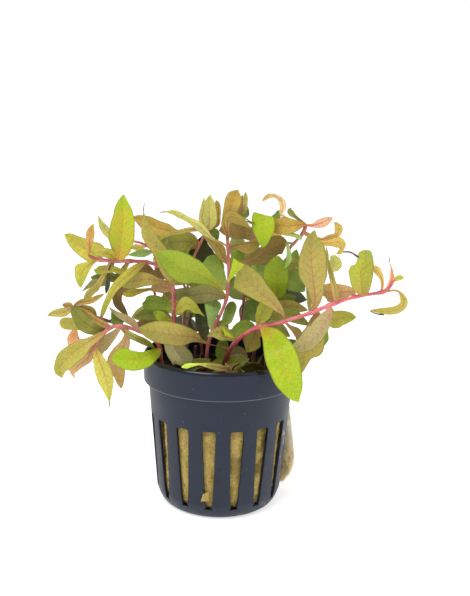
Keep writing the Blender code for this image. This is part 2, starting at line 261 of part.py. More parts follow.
# Smaller leaves, and those round the back, in the same terms. They are one node with the stem they grow from.
SMALL_LEAVES = {
    "runner": [
        ([(1.2, 47.4, 0), (5, 47.4, -5), (9.6, 48.8, -8)], 4.4, 0, 8, "khaki", 0.05),
        ([(1.9, 49.4, 0), (5.5, 50.8, 3), (9, 49.4, 3)], 5, 0, 8, "olive", 0.05),
        ([(12.2, 59.8, 0), (12.6, 62.3, -0.5, 1.5, 1.7), (13.4, 64.4, -1, 2.4, 3),
         (14.8, 67.8, -1.6, 2.6, 2.9), (16.1, 70.2, -2)], 5.5, 0, 30, "green", 0.05, 0.75),
        ([(21, 61.3, 0), (22.8, 60.2, 0.6, 0.6), (24.8, 58.8, 1.2, 1.3), (25.5, 57.5, 1.5, 1.3),
         (25.1, 55.6, 2)], 2.6, 0, 10, "brown", 0.05, 0.54),
        ([(29.4, 65.6, 0), (28.9, 67.8, 0.7, 0.7), (28.6, 70.9, 1.3, 0.8), (27.5, 74.3, 2)], 1.6, 0, 4,
         "olive", 0.05, 0.58),
        ([(35.8, 67.6, 0), (34.8, 60.8, 8, 0.5), (34.8, 58, 8.4, 0.9), (34.6, 56.1, 8.7, 1.3),
         (34.7, 54.1, 9)], 2.6, 0, 6, "green", 0.05, 0.8),
        ([(37.4, 68.8, 0), (37.4, 69.3, 5.5, 0.2), (37, 73.1, 7, 0.2), (35.9, 77.4, 8.5, 0.2),
         (35.7, 79.4, 9.2, 0.9), (36.6, 81.2, 9.8, 2.3), (36.3, 83.4, 10.5, 1.8), (35.1, 84.6, 11)], 4.6, 0,
         4, "khaki", 0.05, 0.76),
        ([(52.5, 73.2, 0), (52.8, 75.1, 0, 0.5), (52.4, 77.3, 0, 0.7), (51.3, 79.2, 0, 1.1),
         (50, 80.5, 0.4, 1.1), (48.3, 80.9, 1)], 2.2, 0, 8, "gold", 0.05, 0.62),
        ([(53.1, 73.1, 0), (54.9, 74.5, 0, 0.6), (55.8, 77.2, 0, 0.8), (55.6, 79.4, 0, 0.5),
         (55.3, 81.1, 0, 0.2), (54.4, 83.1, 0)], 1.6, 0, 8, "orange", 0.05, 0.43),
        ([(56.4, 76.3, 0), (57.5, 77.4, 0, 0.8), (58.7, 77.7, 0, 0.8), (59.8, 77.5, 0)], 1.6, 0, 8, "yellow",
         0.05, 0.39),
        ([(4.9, 55.1, 0), (2, 56.9, -3.8, 1.8), (0, 57.7, -5.9, 2.5), (-2.1, 57.6, -7.2, 1.8),
         (-3.6, 57, -7.6, 0.9), (-4.8, 56.2, -8)], 5, 0, 8, "khaki", 0.05, 0.49),
        ([(11.9, 58.9, 0), (10.9, 56.8, 2.8, 2.1), (10.2, 54.6, 4.2, 3.1), (9.4, 52.7, 4.6, 1.8),
         (8.3, 51, 5)], 6.2, 0, 8, "olive", 0.05, 0.5),
    ],
    "centre": [
        ([(-0.1, 45.3, 0), (-0.1, 47.9, 4.5, 1.5), (0, 50.7, 6, 2.1), (0.4, 53.3, 7, 2.1),
         (0.5, 55.1, 7.5, 1.4), (0.5, 55.9, 8)], 4.2, 0, 8, "green", 0.05, 0.48),
        ([(-1.4, 48, 0), (-3.7, 47.7, -2.3, 0.8), (-6.4, 47.7, -4.6, 1), (-8.7, 47.8, -6.2, 0.7),
         (-9.8, 47.8, -7)], 2, 0, 8, "olive", 0.05, 0.57),
        ([(1.1, 80.5, 0), (-0.1, 83.3, 0.9, 1.4), (-1.5, 86, 1.9, 1.9), (-4, 88.3, 2.4, 1.3),
         (-7.2, 90.7, 3)], 3.8, 0, 10, "brown", 0.05, 0.42),
        ([(-0.3, 59.9, 0), (1.2, 61.4, 2.1, 1.6), (2.2, 63.9, 4.3, 1.9), (3.1, 66.6, 5.3, 1.8),
         (3.5, 68, 5.8, 1.1), (3.7, 68.5, 6)], 3.8, 0, 8, "dark", 0.05, 0.47),
        ([(-0.2, 57.2, 0), (3.6, 57.2, 2.3, 1.8), (6.1, 59.4, 4.3, 2.1), (8.4, 60.3, 5.5, 2),
         (10.3, 60.2, 6.5, 1.1), (11.3, 59.7, 7)], 4.2, 0, 8, "green", 0.05, 0.55),
        ([(1.9, 77.6, 0), (4.5, 82.3, 8), (6, 87, 11)], 5, 0, 8, "green", 0.05),
        ([(1.6, 95.6, 0), (2.8, 97.2, 0.9, 1.9), (3.9, 98.6, 1.7, 2.1), (4.6, 100.8, 2.3, 1.5),
         (5.3, 102.2, 2.7, 0.8), (5.8, 103.6, 3)], 4.2, 0, 8, "brown", 0.05, 0.39),
        ([(3.5, 95.8, 0), (6, 98.3, 3, 0.9), (6.7, 101.1, 4.7, 0.8), (6.7, 103.2, 5.5, 0.7),
         (6.8, 104.7, 6)], 1.8, 0, 8, "khaki", 0.05, 0.31),
        ([(3.5, 96.1, 0), (5.9, 97, 4.5, 1), (7.2, 98, 6.6, 1.3), (7.6, 99.9, 8)], 2.6, 0, 8, "dark", 0.05,
         0.67),
    ],
    "thin": [
        ([(-11.4, 75.6, 0), (-8, 77.4, 3), (-3, 78.4, 5)], 5, 0, 8, "olive", 0.05),
        ([(-12.6, 62, 0), (-9.4, 65.5, 5), (-8.8, 71, 8)], 5, 0, 8, "green", 0.05),
        ([(-6.1, 91.6, 0), (-6.8, 93.8, 0.4, 1), (-7.1, 95.9, 0.8, 1.2), (-6.8, 98.5, 1.2, 1.1),
         (-6.6, 100.8, 1.7, 0.7), (-6.8, 102.5, 2)], 2.4, 0, 8, "khaki", 0.05, 0.37),
        ([(-3.9, 91.7, 0), (-2.3, 93.7, 0.9, 0.7), (-1.9, 96.5, 1.9, 0.8), (-2, 99, 2.4, 0.9),
         (-2.4, 100.7, 2.8, 0.9), (-2.6, 101.8, 3)], 1.8, 0, 12, "olive", 0.05, 0.72),
        ([(-5.6, 91.5, 0), (-4.4, 91.8, 1.1, 0.9), (-3, 91.1, 2.1, 1.6), (-2.3, 89.7, 2.6, 0.9),
         (-2, 88.4, 3)], 3.2, 0, 8, "dark", 0.05, 0.47),
        ([(-9.3, 86.3, 0), (-10.4, 87.8, -1, 2.7), (-13.3, 88.1, -2.3, 3.5), (-16.2, 87.7, -3.2, 2.9),
         (-18.5, 86.8, -4)], 7, 0, 8, "olive", 0.05, 0.44),
        ([(-17.9, 85.2, 0), (-17.6, 87.1, 1.9, 0.7), (-16.8, 88.6, 3.2, 1.1), (-15.1, 89.8, 4)], 2.2, 0, 8,
         "green", 0.05, 0.63),
        ([(-10.9, 81.7, 0), (-12.1, 83.7, -3, 0.6), (-11.4, 85.5, -3.4, 0.5), (-10.4, 86.6, -3.2, 0.2),
         (-9.2, 88.3, -2.5)], 1.2, 0, 4, "yellow", 0.05, 0.26),
    ],
    "left": [
        ([(-18.4, 77.2, 0), (-22.5, 76, 3), (-26.5, 77.6, 5)], 5, 0, 8, "brown", 0.05),
        ([(-16, 72, 0), (-20.5, 73, 4), (-24, 71.6, 6)], 4.6, 0, 8, "tan", 0.05),
        ([(-15.6, 58.6, 0), (-21.5, 60, 6), (-29.6, 59.8, 8)], 5.5, 0, 8, "brown", 0.05),
        ([(-15.9, 62, 0), (-22, 63.8, 5), (-29.3, 62.4, 7)], 5, 0, 8, "olive", 0.05),
        ([(-16.1, 60.7, 0), (-18.3, 61.8, -1.3, 0.9), (-20.1, 62.8, -2, 1.7), (-21.8, 63.8, -2, 1.2),
         (-23, 64.3, -2)], 3.4, 0, 8, "lime", 0.05, 0.56),
        ([(-43.7, 83.1, 0), (-43.6, 84.7, -1.1, 0.3), (-43.7, 86.8, -2.5, 1), (-43.4, 89.8, -4, 1.3),
         (-43, 91.6, -4, 0.9), (-42.3, 93.2, -4)], 2.6, 0, 8, "orange", 0.05, 0.63),
        ([(-35.4, 81.3, 0), (-36.6, 83.2, -2.3, 1.5), (-39.7, 84, -5.1, 1.4), (-42.1, 83.9, -5.6, 1),
         (-43.9, 83.2, -6)], 3, 0, 8, "olive", 0.05, 0.25),
        ([(-34.8, 83.5, 0), (-36.2, 88.6, 2.9, 1.4), (-38.1, 90.8, 4.3, 1.4), (-39.3, 92.5, 4.9, 1.2),
         (-40.2, 94.2, 5.4, 0.6), (-40.7, 96.1, 6)], 2.8, 0, 8, "khaki", 0.05, 0.34),
        ([(-30.5, 80.1, 0), (-33, 77.9, -0.5, 0.8), (-35.9, 78.4, -1, 1.1), (-39.2, 78.2, -1, 1.4),
         (-41.2, 77.8, -1, 1.2), (-42.3, 78.3, -1)], 2.8, 0, 10, "green", 0.05, 0.73),
        ([(-31.2, 78.6, 0), (-34.5, 75.9, 2.6, 1.3), (-37.4, 75.8, 4.2, 1.6), (-40.6, 75.3, 5.2, 1.6),
         (-42.7, 75.4, 5.8, 0.8), (-43.5, 75.6, 6)], 3.2, 0, 8, "brown", 0.05, 0.52),
        ([(-35.4, 76.8, 0), (-38.4, 74.2, 3.3, 1), (-42, 73.9, 6.1, 1.2), (-44.3, 72.4, 7, 0.7),
         (-46.5, 70.6, 8)], 2.4, 0, 8, "olive", 0.05, 0.55),
        ([(-37.1, 75.4, 0), (-41, 73, 1.7, 1), (-42.9, 71.1, 2.3, 1.2), (-44.5, 69.4, 2.7, 1.1),
         (-45.9, 67.9, 3)], 2.4, 0, 8, "yellow", 0.05, 0.61),
        ([(-36.1, 81, 0), (-36.9, 79.8, 0.3, 0.2), (-37.5, 77.1, 0.8, 0.4), (-37.7, 74.1, 1.3, 0.7),
         (-38.1, 71.9, 1.7, 0.7), (-38.5, 70, 2)], 1.4, 0, 4, "dark", 0.05, 0.62),
    ],
    "low_left": [
        ([(-34.2, 58.5, 0), (-31.1, 56.6, -1, 1), (-28.1, 55.1, -2, 1.1), (-24.7, 53.5, 0.5, 1),
         (-21.8, 51.5, 3)], 2.2, 0, 6, "olive", 0.05, 0.47),
        ([(-33.4, 58.4, 0), (-36.1, 56.2, 1.5, 1.3), (-38.7, 53.7, 3, 2), (-40.1, 51.6, 3.5, 1.9),
         (-40.2, 48.9, 4)], 4, 0, 6, "mauve", 0.05, 0.55),
        ([(-42.2, 54.3, 0), (-44.9, 52.7, 4.4, 1.9), (-47.7, 52.8, 7.5, 1.8), (-49.2, 53.8, 8.6, 2.6, 2.7),
         (-49, 56.2, 9, 1.8), (-48.8, 57.4, 9, 1, 1.3), (-48.4, 58.2, 9)], 5.3, 0, 10, "orange", 0.05, 0.61),
        ([(-27.6, 58.5, 0), (-29.3, 60.2, 0.5, 1.1), (-32, 61.9, 1.1, 1.2), (-34.9, 63.4, 2, 0.8),
         (-37.7, 65.7, 3)], 2.4, 0, 8, "mauve", 0.05, 0.43),
        ([(-37, 59.4, 0), (-39, 59.6, 0.6, 1.1), (-41.8, 61.1, 0.5, 1), (-44.5, 63, 0, 1.1),
         (-46.8, 64.6, -0.3, 0.8), (-48.7, 65.7, -0.5)], 2.2, 0, 8, "khaki", 0.05, 0.25),
    ],
    "side_left": [
        ([(-50.1, 64.8, 0), (-52, 63.7, -0.6, 1.4), (-54.4, 63.3, -1.2, 1.3), (-56.5, 62.8, -1.6, 0.8),
         (-58, 62.1, -2)], 2.8, 0, 8, "gold", 0.05, 0.25),
        ([(-49.2, 65.9, 0), (-50.5, 65.8, 0.5, 1.1), (-52.2, 66, 1, 0.7), (-53, 66, 1)], 2.2, 0, 8, "olive",
         0.05, 0.31),
        ([(-49.2, 65.8, 0), (-47.7, 66.7, 0, 0.7), (-46.1, 67.2, 0, 1), (-43.2, 67.8, 0.1, 1),
         (-40.9, 69, 0.6, 0.7), (-38.8, 70.2, 1)], 2, 0, 8, "gold", 0.05, 0.26),
        ([(-48.8, 65.7, 0), (-46.5, 65.3, 1.6, 0.8), (-44.1, 64.6, 3.2, 1.3), (-42.6, 63.6, 4.1, 1),
         (-41.5, 62.4, 5)], 2.6, 0, 8, "khaki", 0.05, 0.57),
        ([(-40.2, 59.8, 0), (-44, 59.3, 2.8, 1.6), (-48.8, 59.6, 4.4, 1.9), (-51.8, 59.8, 4.7, 2),
         (-53.5, 59.9, 4.9, 1.3), (-54.1, 59.8, 5)], 4, 0, 8, "gold", 0.05, 0.8),
        ([(-38, 61, 0), (-34.6, 60.6, 2), (-36.6, 64.6, 3)], 4, 0, 8, "dark", 0.05),
    ],
    "back_left": [
        ([(-18.6, 61, 0), (-24.5, 63.6, 4), (-30, 62.4, 7)], 6.5, 0, 8, "olive", 0.05),
        ([(-20.6, 65.2, 0), (-16.5, 69.5, 3), (-12.6, 71, 5)], 6, 0, 8, "khaki", 0.05),
        ([(-23.6, 76.4, 0), (-19.6, 79.5, 3), (-14.5, 80.5, 5)], 6.5, 0, 8, "olive", 0.05),
        ([(-23.7, 84.2, 0), (-26.1, 84, -2.4, 1.4), (-28.6, 83.6, -3.8, 1), (-29.9, 83.4, -4.4, 0.6),
         (-31.2, 83.2, -5)], 2.8, 0, 8, "green", 0.05, 0.29),
        ([(-25.1, 86.2, 0), (-27, 85.8, 2.8, 1), (-28.9, 85.8, 4.9, 1), (-30.1, 85.2, 6)], 2, 0, 8, "yellow",
         0.05, 0.34),
        ([(-24, 78, 0), (-27.5, 79, -4), (-31, 77.2, -6)], 4, 0, 8, "brown", 0.05),
        ([(-23.1, 73.9, 0), (-28.9, 73.4, -3.7, 1.1), (-33.9, 71.5, -6.9, 1.5), (-34.8, 67.6, -9, 1.7),
         (-33.1, 64.9, -9.5, 1.3), (-31.1, 62.8, -10)], 3.4, 0, 8, "brown", 0.05, 0.7),
        ([(-23.6, 72.2, 0), (-26.7, 71.4, -1.8, 0.8), (-30.2, 70.6, -3.3, 1.5), (-32.3, 70.6, -3.7, 1.3),
         (-33.9, 70.1, -4)], 3, 0, 8, "yellow", 0.05, 0.62),
        ([(-30, 88, 0), (-32.5, 94, 5), (-33, 99, 8)], 6, 0, 8, "olive", 0.05),
        ([(-24.2, 80.5, 0), (-20, 86, 5), (-18, 91, 8)], 7, 0, 8, "khaki", 0.05),
    ],
    "right": [
        ([(15.8, 77.5, 0), (13.5, 78.8, 0.8, 2.3), (11.5, 78.2, 1, 2.1), (10, 78.8, 1)], 4.6, 0, 8, "green",
         0.05, 0.39),
        ([(18.6, 77, 0), (22.4, 81, 7), (24, 86.4, 10)], 6.5, 0, 8, "green", 0.05),
        ([(13.8, 61.2, 0), (10.6, 64.5, 3), (9.8, 70, 4)], 5, 0, 8, "dark", 0.05),
        ([(15.2, 65.8, 0), (20, 68.6, -1), (24.5, 70.6, -1)], 5.5, 0, 8, "green", 0.05),
        ([(17.4, 73, 0), (22, 76.3, 1), (27.3, 72.4, 2)], 8, 0, 8, "dark", 0.05),
        ([(19.2, 79, 0), (22, 81.6, 2), (25.2, 81.5, 3)], 5, 0, 8, "green", 0.05),
        ([(22, 89, 0), (20.8, 88.4, -1.2, 0.5), (21.2, 86.4, -2.8, 0.6), (21.6, 83.3, -4, 0.9),
         (21, 81.4, -4, 0.7), (20.2, 79.9, -4)], 1.8, 0, 8, "green", 0.05, 0.61),
        ([(16.2, 69, 0), (22, 70.6, 5), (28, 69.5, 9)], 6, 0, 8, "dark", 0.05),
        ([(15, 65, 0), (19.5, 66.5, 5), (21.4, 72.5, 8)], 5, 0, 8, "green", 0.05),
        ([(15.6, 67, 0), (22, 67.2, -3), (28.6, 66, -5)], 4.5, 0, 8, "khaki", 0.05),
        ([(13.7, 60.8, 0), (16, 64, 4), (21, 63.6, 6)], 5, 0, 8, "dark", 0.05),
        ([(14.4, 63, 0), (22, 64.4, -6), (29.5, 60.8, -10)], 5, 0, 8, "olive", 0.05),
        ([(13.4, 59.6, 0), (18, 60, -6), (23, 56.8, -9)], 5, 0, 8, "olive", 0.05),
        ([(13.5, 57.5, 0), (17.6, 55.5, -1.7, 1.5), (21.1, 54.1, -2.4, 1.5), (23.6, 54.8, -2.8, 1.4),
         (25, 55.8, -3)], 3, 0, 6, "green", 0.05, 0.33),
        ([(24.6, 95.8, 0), (23.2, 96.9, 1.2, 0.6), (22, 97.9, 2.1, 1), (21.2, 98.9, 2.6, 0.9),
         (21.5, 100, 3)], 2, 0, 8, "olive", 0.05, 0.57),
        ([(27, 89.6, 0), (25.2, 90.2, -1.5, 0.7), (23, 91, -2.3, 0.7), (21.3, 91.1, -2.7, 0.5),
         (19.7, 90.7, -3)], 1.4, 0, 8, "green", 0.05, 0.25),
        ([(25.8, 92.4, 0), (31.5, 89.8, 2.7, 0.6), (34.3, 90.5, 2.6, 0.9), (36.7, 91.3, 2.1, 1),
         (37.4, 93.4, 2, 1.4), (36.6, 94.8, 2, 0.9), (35.7, 95.6, 2)], 2.8, 0, 10, "yellow", 0.15, 0.8),
        ([(25.8, 92, 0), (32, 88.7, 0.9, 0.8), (35.1, 88.8, 0.6, 1.2), (37.2, 88.9, 0.3, 1.9),
         (38.5, 88.2, 0, 1.7), (38.7, 86.6, 0, 0.7), (38.3, 85.8, 0, 0.9), (36.9, 85, 0)], 3.8, 0, 10,
         "yellow", 0.2, 0.61),
        ([(27.5, 93.9, 0), (28.9, 94.3, 0, 0.7), (30.7, 94.8, 0, 1.4), (32.6, 95.5, 0.4, 1.5),
         (34.4, 96.5, 0.8, 0.8), (35.3, 96.9, 1)], 3, 0, 10, "orange", 0.1, 0.6),
    ],
    "back_centre": [
        ([(7.2, 69, 0), (4, 72.6, 5), (2.4, 78, 8)], 6, 0, 8, "green", 0.05),
        ([(8.8, 81.4, 0), (13, 84, 3), (15.4, 89, 4)], 6, 0, 8, "olive", 0.05),
        ([(12.3, 94.1, 0), (9, 94.4, -1.2, 0.4), (8.5, 95.1, -10.6, 1.6), (7.5, 95.7, -10.6, 1.3),
         (6.1, 96.5, -10.2, 0.6), (4.7, 97.2, -10)], 4, 0, 6, "lime", 0.05, 0.36),
        ([(15.2, 96.4, 0), (16.9, 97, 2.3, 1.1), (17.5, 98.1, 3.4, 0.9), (18, 99.1, 4)], 2.2, 0, 6, "dark",
         0.05, 0.39),
        ([(7.2, 70, 0), (10.2, 72, -3), (14, 76, -4)], 5, 0, 8, "olive", 0.05),
        ([(8.6, 80.5, 0), (5, 86, 5), (4, 92, 8)], 7, 0, 8, "olive", 0.05),
        ([(6.2, 61, 0), (9, 66, 5), (12.5, 69, 8)], 6.5, 0, 8, "green", 0.05),
    ],
    "rear_left": [
        ([(-7.6, 65, 0), (-14, 67, 8), (-22, 66.5, 14)], 8, 0, 8, "green", 0.05),
        ([(-9.2, 68.4, 0), (-7.4, 73.5, 2), (-8.5, 79, 3)], 7.5, 0, 8, "olive", 0.05),
        ([(-13.2, 74.8, 0), (-18, 79, 7), (-23, 82.5, 12)], 8, 0, 8, "khaki", 0.05),
        ([(-14.8, 78.4, 0), (-11.5, 83.5, 5), (-9, 87.4, 8)], 7.5, 0, 8, "green", 0.05),
        ([(-15.9, 84.8, 0), (-19.5, 88.6, 4), (-22, 92.6, 7)], 6, 0, 8, "olive", 0.05),
        ([(-7.1, 58, 0), (-12, 60.5, 7), (-18, 58, 13)], 7, 0, 8, "dark", 0.05),
        ([(-15.8, 84, 0), (-13.5, 88, 4), (-12.4, 91, 7)], 5, 0, 8, "khaki", 0.05),
    ],
    "rear_right": [
        ([(13.5, 66, 0), (18, 70, 8), (22.5, 73.5, 14)], 8, 0, 8, "green", 0.05),
        ([(13.9, 68.4, 0), (9.5, 72, 7), (5.5, 75.5, 13)], 8, 0, 8, "olive", 0.05),
        ([(14.5, 76, 0), (18, 78.5, 8), (22.5, 80, 14)], 7.5, 0, 8, "khaki", 0.05),
        ([(14.5, 78.4, 0), (11, 83, 7), (10, 88, 11)], 8, 0, 8, "green", 0.05),
        ([(14.9, 85, 0), (16.5, 89.5, 4), (15, 94, 7)], 6, 0, 8, "gold", 0.05),
        ([(11.4, 57.8, 0), (15, 60.5, 7), (18.5, 58, 13)], 7, 0, 8, "dark", 0.05),
        ([(11.8, 59.2, 0), (8, 59.6, 8), (4.5, 58, 14)], 7, 0, 8, "green", 0.05),
    ],
    "rear_centre": [
        ([(-2.9, 69.2, 0), (-8, 75, 6), (-13, 78, 10)], 8, 0, 8, "green", 0.05),
        ([(-4, 74.5, 0), (-2.8, 80, 6), (-4, 85, 9)], 7.5, 0, 8, "olive", 0.05),
        ([(-4.8, 78.6, 0), (-8.4, 83.5, 4), (-9, 88, 7)], 7, 0, 8, "khaki", 0.05),
        ([(-0.6, 60, 0), (-5, 62, 8), (-9, 59.5, 14)], 7, 0, 8, "dark", 0.05),
        ([(-1.3, 59.5, 0), (0.6, 60, 5), (2.3, 59.2, 9)], 4, 0, 8, "green", 0.05),
        ([(-2.3, 65.6, 0), (-5.5, 67.4, 8), (-8.5, 65.5, 14)], 7, 0, 8, "olive", 0.05),
    ],
}


# Places and courses

def place(across, up, depth):
    """A point as it is seen, slid along the viewer's line of sight to its depth."""
    reach = (EYE_DISTANCE + depth) / EYE_DISTANCE
    return np.array([across * reach, depth, EYE_HEIGHT + (up - EYE_HEIGHT) * reach])


def smooth(points, fractions):
    """Points and directions at these shares of the length of a smooth curve through the given points."""
    points = np.asarray(points, float)
    ends = np.vstack([2 * points[0] - points[1], points, 2 * points[-1] - points[-2]])
    steps = np.linspace(0, 1, 13)[:-1, None]
    dense = []
    for before, here, there, after in zip(ends, ends[1:], ends[2:], ends[3:]):
        pull = (there - before) * steps + (2 * before - 5 * here + 4 * there - after) * steps**2
        dense.append(here + 0.5 * (pull + (3 * here - before - 3 * there + after) * steps**3))
    dense = np.vstack([*dense, points[-1:]])
    run = np.concatenate([[0], np.cumsum(np.linalg.norm(np.diff(dense[:, :3], axis=0), axis=1))])
    at = np.asarray(fractions) * run[-1]
    found = np.stack([np.interp(at, run, column) for column in dense.T], -1)
    reach = run[-1] * 0.02
    ahead = np.stack([np.interp(at + reach, run, column) for column in dense.T], -1)
    behind = np.stack([np.interp(at - reach, run, column) for column in dense.T], -1)
    return found, unit(ahead[:, :3] - behind[:, :3])


def unit(vectors):
    return vectors / np.linalg.norm(vectors, axis=-1, keepdims=True)


def stem_course(name):
    root, course, *_ = STEMS[name]
    points = [place(*point) for point in course]
    return [np.array([*root, ROOT_Z])] + points if root else points


def carry_normals(directions, normal, start):
    """Normals along a curve, carried both ways from one that is given at its point number start."""
    normals = [None] * len(directions)
    for order in (range(start, len(directions)), range(start, -1, -1)):
        carried = normal
        for number in order:
            carried = unit(carried - directions[number] * (carried @ directions[number]))
            normals[number] = carried
    return np.array(normals)


def leaf_course(stem, row, clear):
    """A leaf's points in space, the first one beside its stem's axis, at the distance clear.

    Where the row tells them, the blade's reach to the left and right of the midrib follows each point.
    """
    seen = row[0]
    axis, along = smooth(stem_course(stem), np.linspace(0, 1, 120))
    reach = (EYE_DISTANCE + axis[:, 1]) / EYE_DISTANCE
    shown = np.stack([axis[:, 0] / reach, EYE_HEIGHT + (axis[:, 2] - EYE_HEIGHT) / reach], -1)
    node = np.linalg.norm(shown - np.array(seen[0][:2]), axis=1).argmin()
    depth = axis[node][1]
    rest = [place(across, up, depth + further) for across, up, further, *_ in seen[1:]]
    outward = rest[0] - axis[node]
    outward = unit(outward - along[node] * (outward @ along[node]))
    points = [axis[node] + outward * clear] + rest
    if len(seen[1]) == 3:
        return points
    told = [point[3:] for point in seen]
    told[0] = (STALK_WIDTH / 2,)
    told[-1] = told[-1] or (0.1,)
    if clear and doubles_back(*points[:3]):
        del points[1], told[1]
    return [[*point, reach[0], reach[-1]] for point, reach in zip(points, told)]


def doubles_back(start, near, far):
    """Whether a blade's course turns back just after it has left its stem."""
    return unit(near - start) @ unit(far - near) < 0


def leaf_width(share, width, stalk, widest=0.46):
    """The width at a share of the leaf's length: a bare stalk, then a blade widest at the share widest of it."""
    blade = np.clip((share - stalk) / (1 - stalk), 0, 1)
    full = width * np.sin(pi * blade ** (log(0.5) / log(widest))) ** 0.8
    near_tip = np.clip((1 - share) / 0.1, 0, 1)
    return np.maximum(full, STALK_WIDTH * near_tip)


# Meshes

def mesh_object(name, vertices, faces, tint):
    mesh = bpy.data.meshes.new(name)
    mesh.from_pydata([tuple(float(value) * MM for value in vertex) for vertex in vertices], [], faces)
    work = bmesh.new()
    work.from_mesh(mesh)
    bmesh.ops.recalc_face_normals(work, faces=work.faces)
    work.to_mesh(mesh)
    work.free()
    mesh.materials.append(MATERIALS[tint])
    thing = bpy.data.objects.new(name, mesh)
    bpy.context.scene.collection.objects.link(thing)
    return thing


def rings_to_faces(count, sides, closed_tip):
    """Quads between rings of points, a face over the first ring, and one over the last or a fan to a tip."""
    faces = [tuple(range(sides))]
    for ring in range(count - 1):
        for side in range(sides):
            here = ring * sides + side
            there = ring * sides + (side + 1) % sides
            faces.append((here, there, there + sides, here + sides))
    last = (count - 1) * sides
    if closed_tip:
        faces += [(last + side, last + (side + 1) % sides, last + sides) for side in range(sides)]
    else:
        faces.append(tuple(range(last, last + sides)))
    return faces


def tube(name, points, radii, sides, step, tint):
    """A round bar along a smooth course, its radius read from the list of radii."""
    length = sum(np.linalg.norm(np.diff(points, axis=0), axis=1))
    count = max(4, round(length / step))
    shares = np.linspace(0, 1, count)
    centres, along = smooth(points, shares)
    normals = carry_normals(along, np.array([0.1, -1.0, 0.2]), 0)
    sideways = np.cross(along, normals)
    thick = np.interp(shares, np.linspace(0, 1, len(radii)), radii)
    vertices = []
    for centre, normal, side, radius in zip(centres, normals, sideways, thick):
        for angle in np.arange(sides) * 2 * pi / sides:
            vertices.append(centre + (normal * cos(angle) + side * sin(angle)) * radius)
    return mesh_object(name, vertices, rings_to_faces(count, sides, False), tint)


def leaf(name, stem, row, clear, blade_shares, ridged):
    """A thin blade, folded up a little along its midrib: keeled below, and ridged above as well if it is larger."""
    _, width, turn, fold, tint, stalk, *widest = row
    course = leaf_course(stem, row, clear)
    shares = np.array([0, *(stalk + (1 - stalk) * np.array(blade_shares)), 1])
    found, along = smooth(course, shares)
    centres = found[:, :3]
    middle = len(shares) // 2
    eye = np.array([0, -EYE_DISTANCE, EYE_HEIGHT])
    facing = unit(eye - centres[middle])
    facing = unit(facing - along[middle] * (facing @ along[middle]))
    turned = facing * cos(radians(turn)) + np.cross(along[middle], facing) * sin(radians(turn))
    normals = carry_normals(along, turned, middle)
    sideways = np.cross(along, normals)
    half = leaf_width(shares, width, stalk, *widest)[:, None] / 2
    if found.shape[1] > 3:
        half = np.maximum(found[:, 3:], leaf_width(shares, 0, 0)[:, None] / 2)
    rise = normals * sin(radians(fold))
    out = sideways * cos(radians(fold))
    vertices = []
    for number in range(len(shares) - 1):
        thick = normals[number] * LEAF_THICKNESS / 2
        centre = centres[number]
        left = centre + (rise[number] - out[number]) * half[number][0]
        right = centre + (rise[number] + out[number]) * half[number][-1]
        ridge = [centre + thick] if ridged else []
        vertices += [left, *ridge, right, centre - thick]
    vertices.append(centres[-1])
    return mesh_object(name, vertices, rings_to_faces(len(shares) - 1, 4 if ridged else 3, True), tint)


def boolean(thing, other, operation):
    """Joins or cuts with another object, which stays in the file as a hidden guide."""
    other.hide_render = True
    other.display_type = "WIRE"
    step = thing.modifiers.new(other.name, "BOOLEAN")
    step.object = other
    step.operation = operation


def shade_round(thing, angle):
    thing.data.shade_smooth()
    thing.data.set_sharp_from_angle(angle=radians(angle))


# The pieces

def make_pot():
    body_slope = (BODY_TOP_RADIUS - BODY_FOOT_RADIUS) / (COLLAR_FOOT_Z - CORNER_Z)
    inner_foot = BODY_FOOT_RADIUS - WALL + body_slope * WALL
    profile = [
        (BASE_RADIUS, 0),
        (19.1, 0.85),
        (20.3, 2.8),
        (BODY_FOOT_RADIUS, CORNER_Z),
        (BODY_TOP_RADIUS, COLLAR_FOOT_Z),
        (COLLAR_FOOT_RADIUS - 0.2, COLLAR_FOOT_Z),
        (COLLAR_FOOT_RADIUS, COLLAR_FOOT_Z + 0.3),
        (RIM_RADIUS, POT_HEIGHT - 1.2),
        (RIM_RADIUS - 0.5, POT_HEIGHT),
        (RIM_RADIUS - LIP_WIDTH + 0.5, POT_HEIGHT),
        (RIM_RADIUS - LIP_WIDTH, POT_HEIGHT - 1.2),
        (COLLAR_FOOT_RADIUS - WALL, COLLAR_FOOT_Z + WALL),
        (BODY_TOP_RADIUS - WALL, COLLAR_FOOT_Z + WALL),
        (inner_foot, CORNER_Z + WALL),
        (BASE_RADIUS - 0.4, WALL),
    ]
    vertices = []
    for step in range(POT_SEGMENTS):
        angle = 2 * pi * step / POT_SEGMENTS
        vertices += [(radius * sin(angle), -radius * cos(angle), z) for radius, z in profile]
    rows = len(profile)
    faces = []
    for step in range(POT_SEGMENTS):
        here = step * rows
        there = (step + 1) % POT_SEGMENTS * rows
        faces += [(here + row, there + row, there + row + 1, here + row + 1) for row in range(rows - 1)]
    faces.append(tuple(step * rows for step in range(POT_SEGMENTS)))
    faces.append(tuple(step * rows + rows - 1 for step in range(POT_SEGMENTS)))
    pot = mesh_object("pot", vertices, faces, "pot_plastic")
    boolean(pot, make_slot_cutter(), "DIFFERENCE")
    shade_round(pot, 30)


def slot_direction(number):
    angle = radians(SLOT_FIRST_DEG + number * 360 / SLOT_COUNT)
    return np.array([sin(angle), -cos(angle), 0]), np.array([cos(angle), sin(angle), 0])


